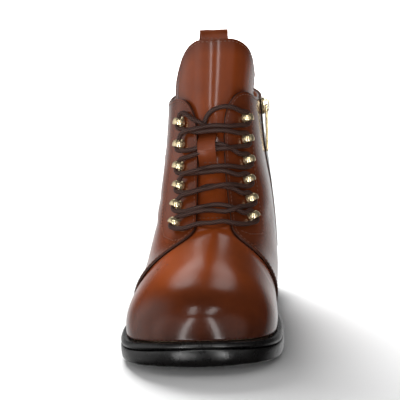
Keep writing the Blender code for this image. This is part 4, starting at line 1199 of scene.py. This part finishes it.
def make_floor():
    """Plain pale floor, left out of the mirrored surroundings."""
    bm = bmesh.new()
    bmesh.ops.create_grid(bm, x_segments=1, y_segments=1, size=FLOOR_HALF)
    mesh = bpy.data.meshes.new("floor")
    bm.to_mesh(mesh)
    bm.free()
    finish = Finish("white_floor", FLOOR_WHITE, 0.9)
    finish.put("Specular IOR Level", 0.1)
    mesh.materials.append(finish.material)
    floor = bpy.data.objects.new("floor", mesh)
    floor.visible_glossy = False
    bpy.context.scene.collection.objects.link(floor)


def soft_light(name, place, target, along, width, height, radiance, mirrored):
    """Flat light that faces a target, of even brightness over its face."""
    back = (Vector(place) - Vector(target)).normalized()
    up = (Vector(along) - back * back.dot(Vector(along))).normalized()
    light = bpy.data.lights.new(name, "AREA")
    light.shape = "RECTANGLE"
    light.size = width
    light.size_y = height
    light.energy = radiance * pi * width * height
    lamp = bpy.data.objects.new(name, light)
    turn = Matrix((up.cross(back), up, back)).transposed().to_4x4()
    lamp.matrix_world = Matrix.Translation(place) @ turn
    lamp.visible_camera = False
    lamp.visible_glossy = mirrored
    lamp.visible_diffuse = not mirrored
    bpy.context.scene.collection.objects.link(lamp)


UPRIGHT = (0.0, 0.0, 1.0)
# Bright back wall of the studio: direction, the cosines over which it grows, and its levels there
BACK_WALL = ((0.0, 0.75, -0.66), 0.42, 0.85, 0.02, 0.8)
# Darkness towards the floor: direction, the slopes over which it ends, and the share of the wall's light
DARK_FLOOR = (UPRIGHT, -0.62, -0.30, 0.03, 1.0)
# Soft glows on the walls: direction, cosines of the outer and inner radius, and strength
WALL_GLOWS = (
    ((-0.23, 0.67, 0.70), 0.978, 0.999, 1.7),
    ((0.20, 0.62, 0.75), 0.982, 0.999, 1.6),
    ((-0.95, 0.05, 0.22), 0.62, 0.97, 0.75),
    ((-0.70, -0.69, 0.17), 0.80, 0.95, 0.5),
    ((0.70, -0.69, 0.17), 0.80, 0.95, 0.4),
    ((-0.27, -0.92, -0.28), 0.991, 1.0, 12.0),
    ((0.34, -0.90, -0.28), 0.991, 1.0, 12.0),
)
BOOT_FRONT = (0.0, -0.10, 0.225)
TOE = (0.0, -0.12, 0.04)
# Lights: place, what each faces, direction of its height, width, height, radiance, whether gloss mirrors it
LIGHTS = {
    "front_strip_left": ((-0.415, -1.33, 0.225), BOOT_FRONT, (0.283, 0.0, 1.27), 0.16, 1.30, 7.5, True),
    "front_strip_right": ((0.362, -1.33, 0.225), BOOT_FRONT, (-0.206, 0.0, 1.27), 0.16, 1.30, 7.5, True),
    "toe_light_left": ((-0.27, -0.974, 1.2), TOE, (0.06, 0.44, 0.284), 0.20, 0.54, 5.5, True),
    "toe_light_right": ((0.35, -0.975, 1.19), TOE, (0.22, 0.44, 0.267), 0.20, 0.56, 5.5, True),
    "shadow_light": ((-0.62, 2.0, 1.35), (0.0, 0.0, 0.0), UPRIGHT, 0.9, 0.9, 42.0, False),
    "ceiling": ((-0.4, 1.0, 3.0), (-0.4, 1.0, 0.0), (0.0, 1.0, 0.0), 8.0, 8.0, 0.29, False),
    "front_fill": ((-0.5, -2.6, 0.55), (0.0, 0.0, 0.1), UPRIGHT, 2.0, 1.0, 3.8, False),
}


def wall_level(tree, way, start, end, low, high):
    """Brightness of the studio's walls that changes from one level to another towards a direction."""
    lean = tree.nodes.new("ShaderNodeVectorMath")
    lean.operation = "DOT_PRODUCT"
    lean.inputs[1].default_value = Vector(way).normalized()
    tree.links.new(tree.nodes.new("ShaderNodeTexCoord").outputs["Generated"], lean.inputs[0])
    level = tree.nodes.new("ShaderNodeMapRange")
    level.interpolation_type = "SMOOTHSTEP"
    for socket, value in zip(("From Min", "From Max", "To Min", "To Max"), (start, end, low, high)):
        level.inputs[socket].default_value = value
    tree.links.new(lean.outputs["Value"], level.inputs["Value"])
    return level.outputs["Result"]


def joined(tree, operation, first, second):
    """Two levels added or multiplied."""
    node = tree.nodes.new("ShaderNodeMath")
    node.operation = operation
    tree.links.new(first, node.inputs[0])
    tree.links.new(second, node.inputs[1])
    return node.outputs["Value"]


def make_studio():
    """Dark room with a bright wall behind the boot and soft glows on its walls."""
    world = bpy.data.worlds.new("studio")
    world.use_nodes = True
    tree = world.node_tree
    total = joined(tree, "MULTIPLY", wall_level(tree, *BACK_WALL), wall_level(tree, *DARK_FLOOR))
    for way, outer, inner, strength in WALL_GLOWS:
        total = joined(tree, "ADD", total, wall_level(tree, way, outer, inner, 0.0, strength))
    background = tree.nodes["Background"]
    background.inputs["Color"].default_value = (1.0, 1.0, 1.0, 1.0)
    tree.links.new(total, background.inputs["Strength"])
    bpy.context.scene.world = world


def make_light():
    """Studio walls and lamps."""
    make_studio()
    for name, values in LIGHTS.items():
        soft_light(name, *values)
    bpy.context.scene.view_settings.view_transform = "Standard"


make_camera()
make_lace()
leather_pieces = make_leather()
make_stitches(leather_pieces)
make_hooks()
make_zip()
make_sole()
make_floor()
make_light()
